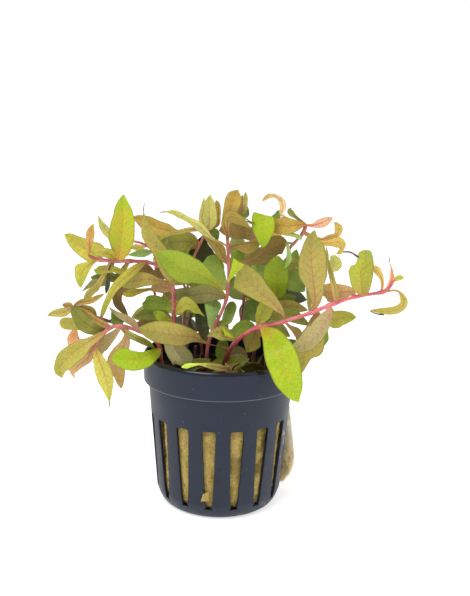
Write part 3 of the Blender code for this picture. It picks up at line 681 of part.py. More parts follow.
def make_slot_cutter():
    """Sixteen wedges, one for each slot, all in one guide."""
    inner = BODY_FOOT_RADIUS - 4 * WALL
    outer = BODY_TOP_RADIUS + 2 * WALL
    vertices = []
    faces = []
    for number in range(SLOT_COUNT):
        outward, sideways = slot_direction(number)
        first = len(vertices)
        for z, width in ((SLOT_FOOT_Z, SLOT_FOOT_WIDTH), (SLOT_TOP_Z, SLOT_TOP_WIDTH)):
            for radius, side in ((inner, -1), (outer, -1), (outer, 1), (inner, 1)):
                vertices.append(outward * radius + sideways * side * width / 2 + np.array([0, 0, z]))
        quads = ((0, 1, 2, 3), (4, 5, 6, 7), (0, 1, 5, 4), (1, 2, 6, 5), (2, 3, 7, 6), (3, 0, 4, 7))
        faces += [tuple(first + corner for corner in quad) for quad in quads]
    return mesh_object("slot_cutter", vertices, faces, "pot_plastic")


def make_wool():
    """The plug, a little uneven all round, with a socket for each rooted stem and the tuft outside."""
    slope = (BODY_TOP_RADIUS - BODY_FOOT_RADIUS) / (COLLAR_FOOT_Z - CORNER_Z)
    foot = WALL + GAP
    levels = [foot, WOOL_SHOULDER_Z, 14, 24, 34, WOOL_TOP_Z - 1.5, WOOL_TOP_Z]
    vertices = []
    for level in levels:
        wall = BODY_FOOT_RADIUS - WALL + slope * (level - CORNER_Z)
        for step in range(WOOL_SEGMENTS):
            angle = 2 * pi * step / WOOL_SEGMENTS
            uneven = 0.35 * (1 + sin(3 * angle + 0.21 * level)) * (1 + 0.5 * sin(7 * angle + level))
            radius = wall - WOOL_CLEARANCE - uneven
            if level == foot:
                radius = WOOL_FOOT_RADIUS
            if level == WOOL_TOP_Z:
                radius -= 2.5
            vertices.append((radius * sin(angle), -radius * cos(angle), level))
    faces = rings_to_faces(len(levels), WOOL_SEGMENTS, False)
    wool = mesh_object("rock_wool", vertices, faces, "rock_wool")
    outward, _ = slot_direction(TUFT_SLOT)
    height = np.array([0, 0, 1])
    neck = [outward * 17 + height * 17, outward * 21 + height * 16, outward * 25.2 + height * 15]
    boolean(wool, tube("tuft_neck", neck, [1.3, 1.3, 1.3], 8, 3, "rock_wool"), "UNION")
    hang = [outward * radius + height * z for radius, z in
            ((24.3, 32.5), (24.6, 27), (24.9, 20), (25, 13), (24.2, 8), (22.6, 3.6))]
    boolean(wool, tube("tuft", hang, [0.4, 0.9, 1.5, 1.7, 1.7, 0.5], 8, 4, "rock_wool"), "UNION")
    for name, (root, _, radius, _, _) in STEMS.items():
        if root:
            course, _ = smooth(stem_course(name), np.linspace(0, 0.22, 4))
            course[0] -= course[1] - course[0]
            socket = tube("socket_" + name, course, [radius + GAP + 0.15] * 2, STEM_SIDES, 5, "rock_wool")
            boolean(wool, socket, "DIFFERENCE")
    shade_round(wool, 40)


def make_shoot(stem):
    """A stem with its small leaves as one piece, and its larger leaves as pieces of their own."""
    _, _, root_radius, tip_radius, tint = STEMS[stem]
    shoot = stem.removesuffix("_stem")
    bar = tube(stem, stem_course(stem), [root_radius, tip_radius], STEM_SIDES,
               STEM_STEPS.get(stem, STEM_STEP), tint)
    for number, row in enumerate(SMALL_LEAVES.get(shoot, []), 1):
        shares = (0.12, 0.36, 0.68) if len(row[0][1]) > 3 else (0.28, 0.64)
        blade = leaf(f"{shoot}_small_leaf_{number}", stem, row, 0, shares, False)
        boolean(bar, blade, "UNION")
    shade_round(bar, 50)
    for number, row in enumerate(LEAVES.get(shoot, []), 1):
        shares = (0.1, 0.28, 0.5, 0.72, 0.9) if len(row[0]) < 8 else (0.1, 0.25, 0.4, 0.55, 0.7, 0.85)
        blade = leaf(f"{shoot}_leaf_{number}", stem, row, root_radius + GAP + 0.4, shares, True)
        shade_round(blade, 50)


def make_material(name, colour, roughness):
    material = bpy.data.materials.new(name)
    material.use_nodes = True
    shader = material.node_tree.nodes["Principled BSDF"]
    shader.inputs["Base Color"].default_value = (*colour, 1)
    shader.inputs["Roughness"].default_value = roughness
    shader.inputs["Metallic"].default_value = 0
    return material


for leftover in list(bpy.data.objects):
    bpy.data.objects.remove(leftover)
MATERIALS = {name: make_material(name, colour, roughness) for name, (colour, roughness) in TINTS.items()}
make_pot()
make_wool()
for stem_name in STEMS:
    make_shoot(stem_name)
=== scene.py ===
# Potted golden nesaea: the looks of the net pot, the rock wool, the stems and the leaves.
# Sizes are millimetres in the tables and become metres where a mesh is written.
from math import cos, log, pi, radians, sin

import bmesh
import bpy
import numpy as np
from mathutils import Matrix, Vector, noise


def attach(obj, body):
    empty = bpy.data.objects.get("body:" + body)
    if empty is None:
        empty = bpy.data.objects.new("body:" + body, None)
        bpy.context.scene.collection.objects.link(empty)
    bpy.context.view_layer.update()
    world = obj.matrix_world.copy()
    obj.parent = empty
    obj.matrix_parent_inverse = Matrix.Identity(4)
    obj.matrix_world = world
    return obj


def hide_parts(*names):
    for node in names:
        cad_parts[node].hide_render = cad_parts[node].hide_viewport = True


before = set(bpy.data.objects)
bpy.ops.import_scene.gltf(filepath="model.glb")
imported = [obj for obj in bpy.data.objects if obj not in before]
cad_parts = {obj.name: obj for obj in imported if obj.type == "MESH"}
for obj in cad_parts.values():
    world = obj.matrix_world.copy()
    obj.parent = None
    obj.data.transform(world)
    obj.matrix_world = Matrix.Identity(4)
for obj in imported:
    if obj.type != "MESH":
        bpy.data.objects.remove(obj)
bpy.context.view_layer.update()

MM = 0.001

# The studio, in metres: the floor, each lamp's name, place, size and watts, and the place the lamps point at.
# The camera is fitted to the photograph.
WORLD_LIGHT = 0.55
FLOOR_GLOW = 0.55
FLOOR_REACH = 6.0
FLOOR_Z = -0.00005
LAMP_AIM = (0, 0, 0.06)
LAMPS = [
    ("key", (-0.3, -0.35, 0.75), 0.45, 3.6),
    ("fill", (0.6, -0.3, 0.5), 0.6, 0.8),
]
CAMERA_YAW, CAMERA_PITCH, CAMERA_ROLL = -0.9, -11.8, -1.43
FOCAL_PIXELS = 818
PHOTO_HEIGHT = 596
SENSOR_HEIGHT = 36

# Pot, as in the part's source
POT_HEIGHT = 51.5
RIM_RADIUS = 26.0
COLLAR_FOOT_Z = 42.1
COLLAR_FOOT_RADIUS = 25.75
BODY_TOP_RADIUS = 24.2
BODY_FOOT_RADIUS = 21.1
CORNER_Z = 5.0
BASE_RADIUS = 17.4
WALL = 1.0
SLOT_COUNT = 16
SLOT_FIRST_DEG = -8.3
SLOT_TOP_Z = 31.3

# Rock wool
WOOL_TOP_Z = 43.0
WOOL_FOOT_RADIUS = 15.2
WOOL_SHOULDER_Z = 6.8
ROOT_Z = 38.5
TUFT_SLOT = 5

# Viewer's eye, in front of the pot's axis
EYE_DISTANCE = 265.0
EYE_HEIGHT = 125.0

# Leaves
STALK_WIDTH = 0.68
LEAF_THICKNESS = 0.3
LEAF_ROWS = 26
ACROSS = np.array([-1, -0.93, -0.76, -0.55, -0.36, -0.19, -0.075, 0, 0.075, 0.19, 0.36, 0.55, 0.76, 0.93, 1])

# Each stem: where it is rooted in the wool (x, y), its course above the wool, its radius at the root and at
# the tip, and its tint. A stem with no root forks from another one.
STEMS = {
    "runner_stem": ((0.3, 4.0), [
        (1.1, 46.7, 2), (2.5, 51, -2), (4.8, 54.7, -6), (9.7, 58.7, -10), (13, 60.1, -11), (18, 61.3, -12),
        (24, 63.2, -13), (30.4, 65.5, -13), (36.6, 68.3, -13), (44.4, 71, -12), (53.2, 72.8, -10),
        (55.4, 74.8, -10), (56.2, 77, -10)], 0.8, 0.5, "stem_pink"),
    "centre_stem": ((-6, 2), [
        (-5, 48, -1), (-4.3, 54, -2), (-2, 60.6, -2), (0.9, 67.7, -1), (1.8, 73.6, 0), (1.9, 80, 0),
        (1.5, 86, 1), (1.2, 91, 1), (2.1, 96, 2)], 0.65, 0.45, "stem_pink"),
    "left_stem": ((-13.5, 6), [
        (-14.8, 50, 4), (-15.9, 61, 3), (-15.9, 67, 2), (-16.8, 74, 1), (-20, 79, 1), (-25, 81, 0),
        (-33, 81.2, -3), (-40, 81.4, -5), (-44, 82.6, -6)], 0.95, 0.5, "stem_pink"),
    "low_left_stem": ((-18, 2), [
        (-20, 47.5, -4), (-20.8, 52.6, -6), (-23.5, 55.5, -8), (-28, 57.8, -10), (-32.4, 59.1, -11),
        (-35.5, 59.2, -11), (-38.3, 57.7, -11), (-40.5, 54.8, -12), (-42.4, 52, -12)],
        0.75, 0.5, "stem_pink"),
    "side_left_stem": (None, [
        (-37, 60.6, -9.5), (-43, 62.8, -10), (-49.4, 65.3, -11)], 0.45, 0.35, "stem_red"),
    "thin_stem": ((-10.5, 10), [
        (-12, 52, 10), (-12.7, 60.7, 10), (-11.7, 70.4, 8), (-11.4, 74.5, 8), (-10, 82, 9), (-7, 89, 9),
        (-5.7, 92.2, 8.4)], 0.55, 0.4, "stem_red"),
    "back_left_stem": ((-12, 15), [
        (-16, 55, 16), (-20.5, 65, 17), (-22.5, 71, 17), (-22.4, 76, 16), (-21.8, 80.5, 15), (-22.6, 84, 14),
        (-24.6, 86.2, 13), (-27, 87.3, 11), (-29.6, 87.8, 10)], 0.6, 0.4, "stem_red"),
    "back_centre_stem": ((4, 14), [
        (5.3, 54, 14), (6.6, 63.2, 15), (7, 67.5, 15), (7.5, 74, 15), (9.5, 84, 14), (12, 91, 12),
        (13.3, 95, 10)], 0.6, 0.4, "stem_red"),
    "right_stem": ((10.5, 7), [
        (11, 51, 7), (13.5, 60, 8), (17, 72, 9), (20.6, 82, 7), (21.5, 86.2, 5),
        (23.4, 88.8, 4), (25.5, 91.3, 3), (26.8, 94.4, 2)], 0.65, 0.45, "stem_red"),
    "rear_left_stem": ((-6, 18), [
        (-7, 55, 21), (-7.5, 64, 24), (-12, 72, 27), (-15, 79, 29), (-16, 86, 31)], 0.6, 0.4, "stem_red"),
    "rear_right_stem": ((9, 18), [
        (10, 55, 18.5), (12, 61, 22), (14, 68, 26), (14.5, 77, 29), (15, 86, 31)], 0.6, 0.4, "stem_red"),
    "rear_centre_stem": ((1, 20), [
        (0.6, 57, 20.5), (-1.2, 62, 26), (-3, 70, 32), (-5, 79, 34)], 0.6, 0.4, "stem_red"),
}

# Each leaf: its course from base to tip, with depths counted from the stem, its width, how far its face is
# turned about its length (degrees, towards the right-hand side of its course), how far its halves are folded
# up along the midrib (degrees), its tint, the share of its length that is a bare stalk, and, where it isn't
# the usual one, the share of its blade at which it is widest. After a point's depth stands, where it is told,
# how far the blade reaches from the midrib there: one number for both sides, or the left-hand side and then
# the right-hand one. These are nodes of their own.
LEAVES = {
    "runner": [
        ([(12.9, 59.4, 0), (14.5, 58.6, -2.1, 1.9, 1.5), (16.6, 56.1, -6.3, 3.8, 2.9),
         (19.1, 51.6, -11.6, 4.9, 4.6), (20.9, 47.9, -13.3, 5.1), (22.2, 43.7, -15.1, 4.8, 4.6),
         (23.9, 39.8, -15.8, 3.8), (25.2, 36.5, -16.5, 2.4, 2.3), (26.8, 33.8, -17)], 10.2, 0, 8, "lime",
         0.03, 0.47),
        ([(20.7, 62.8, 0), (20.4, 64.3, -1.1, 0.4), (18.4, 66.4, -2.4, 1.1, 1.6), (15.4, 69.2, -3.3, 2, 2.5),
         (11.8, 72, -4.1, 2.9, 3.6), (8.4, 75.1, -4.5, 4.1, 4.3), (5.5, 77.4, -4.9, 4.4, 4),
         (4.1, 77.8, -5, 3.7)], 8.4, 0, 6, "khaki", 0.1, 0.8),
        ([(30.1, 65.6, 0), (30.7, 68.5, -0.4, 1, 1.6), (30.5, 71.9, -0.9, 1.9, 2.8),
         (30.1, 74.6, -1.3, 2.7, 3.3), (29.6, 77.9, -1.8, 4.3, 4.5), (29, 81.3, -2, 4.1, 4.8),
         (28.8, 84.9, -2, 3.6, 4.6), (28.6, 88, -2, 2.5, 3.9), (28.7, 90.3, -2, 1.5, 2.3), (29.6, 92.9, -2)],
         8.9, 0, 6, "khaki", 0.08, 0.54),
        ([(36.3, 67.1, 0), (35.4, 64.6, -0.9, 1.4, 1.9), (33.3, 61.4, -2, 2.7), (32.5, 58.6, -2.5, 2.2, 4.1),
         (30.1, 56.1, -3, 2.7, 3.7), (26.7, 54, -3, 2.6, 2.3), (22.6, 53, -3)], 6.4, 0, 8, "khaki", 0.05,
         0.59),
        ([(31.8, 66.3, 0), (31.5, 62.7, 1.3, 2.1), (31.3, 59, 2.6, 3.4), (29.4, 54.1, 3, 5, 4.2),
         (28, 50.9, 3, 3.1), (27.6, 47.9, 2.5, 1.7), (27.3, 45.3, 2.2, 0.8), (27.1, 43.9, 2)], 9.2, 0, 6,
         "tan", 0.05, 0.52),
        ([(35.8, 67.3, 0), (36.7, 63.1, 2.8, 2.7), (39.6, 63.6, 3.9, 2.5), (42.3, 64, 4.5, 1.7),
         (43.8, 64, 4.8, 0.9), (44.7, 64.1, 5)], 5.4, 0, 8, "olive", 0.05, 0.32),
        ([(44, 71.9, 0), (42.4, 72.6, 1.6, 1.5), (38.9, 72.4, 3, 2.6), (36.2, 72.2, 3.4, 3),
         (34.1, 72.1, 3.6, 2.6), (32.8, 71.5, 4)], 6, 0, 6, "gold", 0.05, 0.68),
        ([(37.4, 68.7, 0), (37.7, 70, -0.2, 0.9), (37.1, 73.1, -0.7, 1), (36.4, 75.7, -0.6, 0.9),
         (35.5, 78.6, 0.8, 0.8), (34.8, 80.7, 1.8, 0.6), (34.3, 83, 2.6, 0.4), (34, 85.2, 3.3, 0.4),
         (33.6, 87.6, 4)], 2, 0, 8, "olive", 0.05, 0.25),
        ([(46.1, 70.9, 0), (46.1, 72.9, -0.9, 2.2), (45.7, 75.6, -2.1, 3.2), (45.4, 78.3, -3, 3.6, 3.8),
         (45.3, 79.8, -3, 3.7, 3.9), (45.6, 80.6, -3, 2.6, 3.7), (46.2, 82.5, -3, 2.2, 3.2),
         (46.5, 84.7, -2.1, 2.3), (46.1, 86.2, -1.3, 1.6), (46.2, 86.7, -1)], 7.6, 0, 10, "olive", 0.04,
         0.53),
        ([(53.4, 72.9, 0), (58, 73.2, -1), (60.4, 69.2, -2), (57, 66.4, -3), (49, 66.4, -3)], 3.2, 30, 8,
         "khaki", 0.2, 0.5),
        ([(2.4, 51.8, 0), (-0.5, 52.9, -1.6, 0.2), (-4.1, 53.6, -3.5, 0.2), (-6.9, 54.8, -5.5, 0.7),
         (-9.5, 56.1, -7.8, 1.9), (-13.6, 56.4, -10.8, 3.4), (-17.4, 57, -12.5, 3.7),
         (-21.7, 57.6, -13.6, 3.4), (-25.4, 58.1, -14.4, 2.1), (-27.1, 58.6, -14.8, 0.8),
         (-27.8, 58.6, -15)], 7.4, 0, 6, "khaki", 0.24, 0.56),
        ([(1.3, 47.2, 0), (2.6, 45.6, -6, 0.4), (0.5, 45.4, -13.4, 1), (-2, 45.8, -17.8, 1.1),
         (-4.9, 46.3, -22.3, 0.7), (-7.4, 46.6, -23.3, 0.3), (-9.7, 46.3, -23.5, 0.6),
         (-11.8, 45.8, -23.8, 0.8), (-13.4, 45.4, -24)], 2.2, 0, 8, "tan", 0.05, 0.25),
    ],
    "centre": [
        ([(1, 69.6, 0), (-0.4, 72, -1.9, 0.5), (-2.6, 74.4, -4.3, 1.2), (-5.5, 76.1, -6.3, 2.4),
         (-9.2, 78, -8, 3.9), (-13, 79.2, -9.7, 4.8), (-16.5, 81.5, -10.7, 4), (-19.3, 83.1, -11.4, 2.6),
         (-21.1, 84.2, -11.8, 1), (-22, 84.4, -12)], 9.6, 0, 8, "green", 0.05, 0.61),
        ([(1.3, 71.9, 0), (-0.5, 74.5, 1.7, 2.1), (-2.4, 78.2, 3.7, 3), (-3.8, 81.1, 5, 3.3),
         (-4.7, 82.7, 5.7, 2.1), (-5.2, 83.3, 6)], 6.6, 0, 8, "green", 0.05, 0.79),
        ([(0.5, 69.9, 0), (-1.9, 70.6, 2.3, 2), (-5.3, 71, 5.1, 3.3), (-9.4, 70.3, 6.8, 2.9),
         (-14, 70.5, 7.3, 2.1), (-17.3, 70.5, 7.7, 1.2), (-19.8, 70.6, 8)], 6.6, 0, 6, "mauve", 0.05, 0.25),
        ([(-3.7, 58.1, 0), (-3.6, 60.3, 1.5, 1), (-3.5, 62.8, 3.5, 1.6), (-3.3, 65.1, 5, 2.4),
         (-3.1, 67.4, 6.2, 2.7), (-3.4, 69.5, 7)], 5.4, 0, 8, "green", 0.05, 0.8),
        ([(-4.8, 53.9, 0), (-5.4, 56.8, 3.8, 1.4), (-6.3, 59.3, 7.2, 2.2), (-6.9, 62.6, 8.9, 2.1),
         (-7.1, 65.5, 9.9, 1.8), (-7.2, 67.3, 10.5, 1.4), (-7.4, 68.7, 11)], 4.4, 0, 8, "dark", 0.05, 0.34),
        ([(2.1, 86, 0), (3.9, 87.2, 0.9, 0.4, 1.5), (6.9, 87.8, 2, 0.6, 3.6), (9.7, 88.2, 3, 0.6, 2.9),
         (12.5, 88.6, 4)], 4.2, 0, 6, "brown", 0.06, 0.44),
        ([(2.3, 80.7, 0), (7.5, 81.7, 5.5, 1.2), (11, 83.6, 7, 2, 3.3), (13.6, 85.6, 7.9, 2, 4.1),
         (16.5, 87.2, 8, 3.3, 3.2), (18.4, 88, 8, 3, 3.6), (20.3, 88.1, 8, 1.5), (20.5, 88, 8)], 6.6, 0, 8,
         "brown", 0.08, 0.8),
        ([(1, 90.5, 0), (0.3, 93.3, -1.6, 1.1), (1, 96.2, -2, 1.7), (2.2, 99.5, -1.9, 2.5),
         (3, 102.3, -1.5, 2.7), (3.6, 103.9, -1, 1.9), (4.3, 105.3, -1)], 5.4, 0, 10, "gold", 0.03, 0.78),
        ([(1.6, 86.8, 0), (-1, 88.2, -1.9, 0.3), (-3.6, 89.1, -3.7, 0.4), (-6.5, 91.7, -5, 1.3),
         (-8.7, 93.6, -5.9, 1.4), (-11.9, 95.4, -6, 0.9), (-14.6, 96.8, -6, 1), (-16.9, 97.6, -6, 0.7),
         (-19.3, 97.6, -6)], 2.8, 0, 10, "yellow", 0.05, 0.49),
        ([(1, 89.3, 0), (1.1, 92, -3.2, 0.4), (1.4, 95.9, -3.8, 1.6), (2.6, 96.7, -4.8, 2.1),
         (4.4, 96, -5.8, 2), (6.3, 94.9, -6.4, 1.4), (7.8, 93.6, -6.7, 0.6), (9, 92.8, -7)], 4.2, 0, 10,
         "khaki", 0.05, 0.29),
    ],
    "thin": [
        ([(-5.6, 91.6, 0), (-5.1, 92.6, -1.8, 1.1), (-4.7, 94.4, -2.2, 2.3), (-4.7, 96.9, -2.6, 2.5),
         (-4.7, 99.6, -2.6, 2), (-4.8, 102, -2.5, 1.1), (-4.5, 103.5, -2.4)], 5, 0, 8, "khaki", 0.03, 0.44),
        ([(-5.6, 91.4, 0), (-7.9, 92, -1.5, 0.5), (-11, 92, -3.4, 0.8), (-14.4, 91.2, -4.5, 0.8),
         (-17.5, 90.5, -5.1, 0.7), (-20.1, 89.2, -5.6, 0.6), (-21.6, 87.6, -6)], 1.6, 0, 8, "gold", 0.05,
         0.28),
        ([(-7.7, 87.5, 0), (-10.8, 89.4, 2.2, 1.2), (-15.6, 90.9, 3, 1.2), (-18.2, 91.5, 3.6, 2.3),
         (-21.9, 92.4, 4.6, 2.6), (-25.3, 93.9, 5.3, 2.5), (-28.2, 95.2, 5.7, 1.3), (-30.2, 95.3, 6)], 5.2,
         0, 8, "gold", 0.05, 0.61),
        ([(-6.8, 90.5, 0), (-7.1, 88.7, 3, 1.8), (-7.4, 86.4, 4, 3.7), (-7.3, 83.9, 4.5, 4.9),
         (-6.9, 81.2, 5, 4.1), (-7.2, 78.4, 5)], 9.8, 0, 14, "dark", 0.05, 0.52),
        ([(-11.3, 74.2, 0), (-15.2, 74.8, -8.1, 1.7), (-18.1, 78.1, -11.7, 2.1), (-19.6, 81.7, -12.6, 2.4),
         (-20.8, 84.9, -13.3, 2.3), (-23.5, 88, -13.8, 2.1, 2.4), (-24.7, 90.7, -14, 2.1, 1.9),
         (-25.3, 93.2, -14, 1.5, 1.1), (-25.9, 95.2, -14, 0.6), (-26.1, 97.8, -14)], 4.8, 0, 10, "khaki",
         0.05, 0.38),
    ],
    "left": [
        ([(-16.7, 74.4, 0), (-20.7, 74.9, -1.5, 1.2, 0.7), (-24.1, 75.2, -2.9, 2), (-27.6, 75.1, -3.3, 2.6),
         (-30.9, 74.4, -3.6, 2.6), (-32.8, 73.8, -3.8, 1.6), (-34.6, 73.1, -4)], 5.2, 0, 6, "khaki", 0.05,
         0.58),
        ([(-16, 65.3, 0), (-17.9, 66.2, 1.3, 1.3), (-20.6, 67.2, 3, 2.3), (-23.4, 67.4, 3.9, 2.6),
         (-25.2, 66.9, 4.5, 2), (-26.6, 67.1, 5)], 5.2, 0, 8, "green", 0.05, 0.69),
        ([(-16.1, 63.4, 0), (-14.8, 65, -1.7, 1.3), (-13.5, 66.2, -3.3, 2.2), (-12.1, 67.4, -4.7, 2.4),
         (-10.2, 66.8, -6, 1.8), (-8.6, 65.3, -6.4, 1.3), (-7.2, 64.4, -6.6, 0.5), (-5.7, 63, -7)], 4.8, 0,
         8, "yellow", 0.05, 0.39),
        ([(-16.6, 56.5, 0), (-16.5, 55.2, -1.2, 2.6), (-15.7, 52.2, -3.8, 3.3), (-14, 49.5, -5.8, 3.5),
         (-12.7, 47.7, -7, 3.6), (-12.8, 46.4, -7.7, 2.3), (-12.8, 45.7, -8)], 7.2, 0, 8, "mauve", 0.05,
         0.8),
        ([(-34.7, 81.1, 0), (-34.1, 82.2, -0.4, 1.6), (-33.8, 84.4, -1.1, 2.5, 3.1), (-33.3, 88.3, -2.3, 4),
         (-32.8, 92.2, -3.1, 4.1, 3.8), (-32.6, 95.8, -3.4, 3.4, 3.3), (-32.8, 98.8, -3.7, 2.5),
         (-32.7, 101.2, -3.9, 1.3), (-32.5, 103, -4)], 8, 0, 8, "lime", 0.02, 0.32),
        ([(-40, 81.7, 0), (-40.8, 83.2, 2.2, 3.2), (-43.2, 84.1, 2.6, 3.4), (-46.6, 85.9, 2.2, 2.8),
         (-48.9, 87.5, 1, 2.1), (-50.6, 88.9, 0, 1.2), (-51.9, 89.5, -0.5)], 6.8, 0, 8, "yellow", 0.05,
         0.25),
        ([(-40.4, 81.6, 0), (-42.1, 80.9, -1.3, 0.5), (-44, 79.6, -2.9, 1.2), (-45.7, 77.9, -3.6, 1.8, 2.7),
         (-46.4, 76.5, -4, 1.8, 2.3), (-46.8, 74.7, -4, 1.5), (-46.8, 73, -4, 0.8), (-46.6, 71.9, -4)], 4.5,
         0, 6, "yellow", 0.05, 0.49),
        ([(-25.3, 81.3, 0), (-27.8, 79.4, -2.5, 1.2), (-31, 76.8, -5.7, 1.6), (-34, 74, -7.2, 1.5),
         (-36, 71.5, -8.3, 1.2), (-37.6, 68.5, -9, 1), (-38.9, 65.6, -9, 0.9), (-39.7, 63.2, -9, 0.7),
         (-40.3, 61.5, -9)], 3.2, 0, 4, "olive", 0.05, 0.25),
    ],
    "low_left": [
        ([(-19.2, 51.8, 0), (-21.5, 51.2, -4.1, 1.9, 0.6), (-23.9, 49.7, -8.4, 2.8, 1.4),
         (-26.2, 48.5, -10.4, 3.5, 1.9), (-29.1, 47.7, -12.3, 3.6, 2.8), (-32.1, 47.5, -13.3, 3.3, 3.8),
         (-34.6, 47.7, -13.6, 2.1, 3.5), (-35.9, 48, -13.8, 1.3, 2.4), (-36.9, 48.4, -14)], 7.1, 0, 10,
         "lime", 0.05, 0.72),
        ([(-38.5, 57.3, 0), (-40.6, 56.1, -0.9, 1.3, 0.8), (-44.2, 53.7, -2.5, 1.8, 1.4),
         (-47.9, 51, -3.7, 3.1, 2.5), (-51.8, 47.6, -4.9, 3.2, 3.1), (-53.7, 44.8, -5.4, 3, 2.2),
         (-54, 43, -5.7, 1.9, 1.8), (-53.3, 40.8, -6)], 6.3, 0, 8, "olive", 0.05, 0.67),
        ([(-42.1, 52.9, 0), (-43.8, 50, -0.9, 1.3), (-44.8, 48, -0.6, 1.7), (-46.5, 46.6, 0, 1.5),
         (-48.9, 44.3, 1.2, 1.2), (-50, 43.1, 2, 1.1), (-49.2, 40.6, 2.5)], 3.4, 0, 6, "mauve", 0.05, 0.33),
        ([(-42.6, 52.9, 0), (-42.1, 50.8, -0.6, 0.8), (-41, 47.4, -1.7, 1.9), (-39.7, 43.8, -2.7, 2.6),
         (-38.7, 40.4, -3.5, 2.5), (-38.1, 37, -4.2, 1.6), (-37.7, 34.3, -4.7, 0.7), (-37.6, 32.3, -5)], 5.2,
         0, 12, "yellow", 0.05, 0.42),
        ([(-32.1, 56.4, 0), (-31.9, 54.3, 3.6, 1.4), (-33.7, 50.4, 8.2, 2.7), (-35.3, 47, 8.7, 2.9),
         (-35.5, 44.2, 8.9, 3.3, 1.8), (-34.8, 41.7, 8.6, 2.8, 1.1), (-33.7, 39.1, 8.2, 1.1),
         (-33.5, 37.4, 8)], 5.8, 0, 6, "tan", 0.05, 0.48),
        ([(-37.2, 58.2, 0), (-39.7, 57.8, 1.5, 0.9), (-42.8, 58.4, 0.5, 2.3, 2), (-45.6, 60.4, -1, 3, 2.1),
         (-47.6, 62.7, -2.5, 2.3, 1.7), (-49, 64.3, -3.8, 1.5), (-50, 65.7, -5)], 5.1, 0, 10, "green", 0.05,
         0.55),
    ],
    "right": [
        ([(18.1, 68.8, 0), (17.7, 71.8, -2.5, 1.8, 2.9), (17.2, 74.8, -5, 3.4, 4.3),
         (17.5, 77.7, -5.9, 4.5, 4.4), (18, 80.3, -6.8, 4.2, 3.6), (17.9, 82.8, -7.6, 2.3),
         (18.2, 84.1, -8)], 8.9, 0, 8, "green", 0.05, 0.56),
        ([(26.5, 94.6, 0), (25.1, 94.5, -0.6, 1.1), (22.4, 94, -1.4, 2.3), (19.8, 93.9, 0, 2.9),
         (17.2, 94, 2.5, 2.5), (15.3, 94, 4.5, 1.7), (14, 94.1, 5.5)], 5.8, 0, 8, "gold", 0.05, 0.51),
        ([(18.8, 96.3, 0), (18.9, 97.3, 0.9, 0.5), (19, 99.7, 2.8, 1.1), (18.3, 102.1, 3.6, 1),
         (16.4, 103.5, 2.8, 0.6), (14.5, 103.6, 2.1, 0.8), (13.1, 102.8, 1.5, 0.7), (12.2, 101.6, 1)], 2.2,
         0, 14, "orange", 0.05, 0.25),
    ],
    "back_centre": [
        ([(13, 94.1, 0), (13.1, 95.6, -3.5, 0.7), (13.2, 96.9, -7.5, 2.8, 3.8), (12.8, 93.3, -10, 3.8),
         (12.9, 90, -11, 2.5), (12.9, 87.6, -11, 1.1), (13, 86.7, -11)], 7.6, 0, 8, "lime", 0.05, 0.25),
        ([(12.2, 88.8, 0), (9.8, 90.7, -2.2, 2.4), (7.1, 91.4, -4.5, 2.2), (3.6, 92.1, -6, 2.7),
         (0.7, 92.3, -7.1, 2.1), (-0.9, 92.2, -7.7, 1.2), (-1.6, 91.9, -8)], 5.4, 0, 8, "olive", 0.05, 0.62),
    ],
}

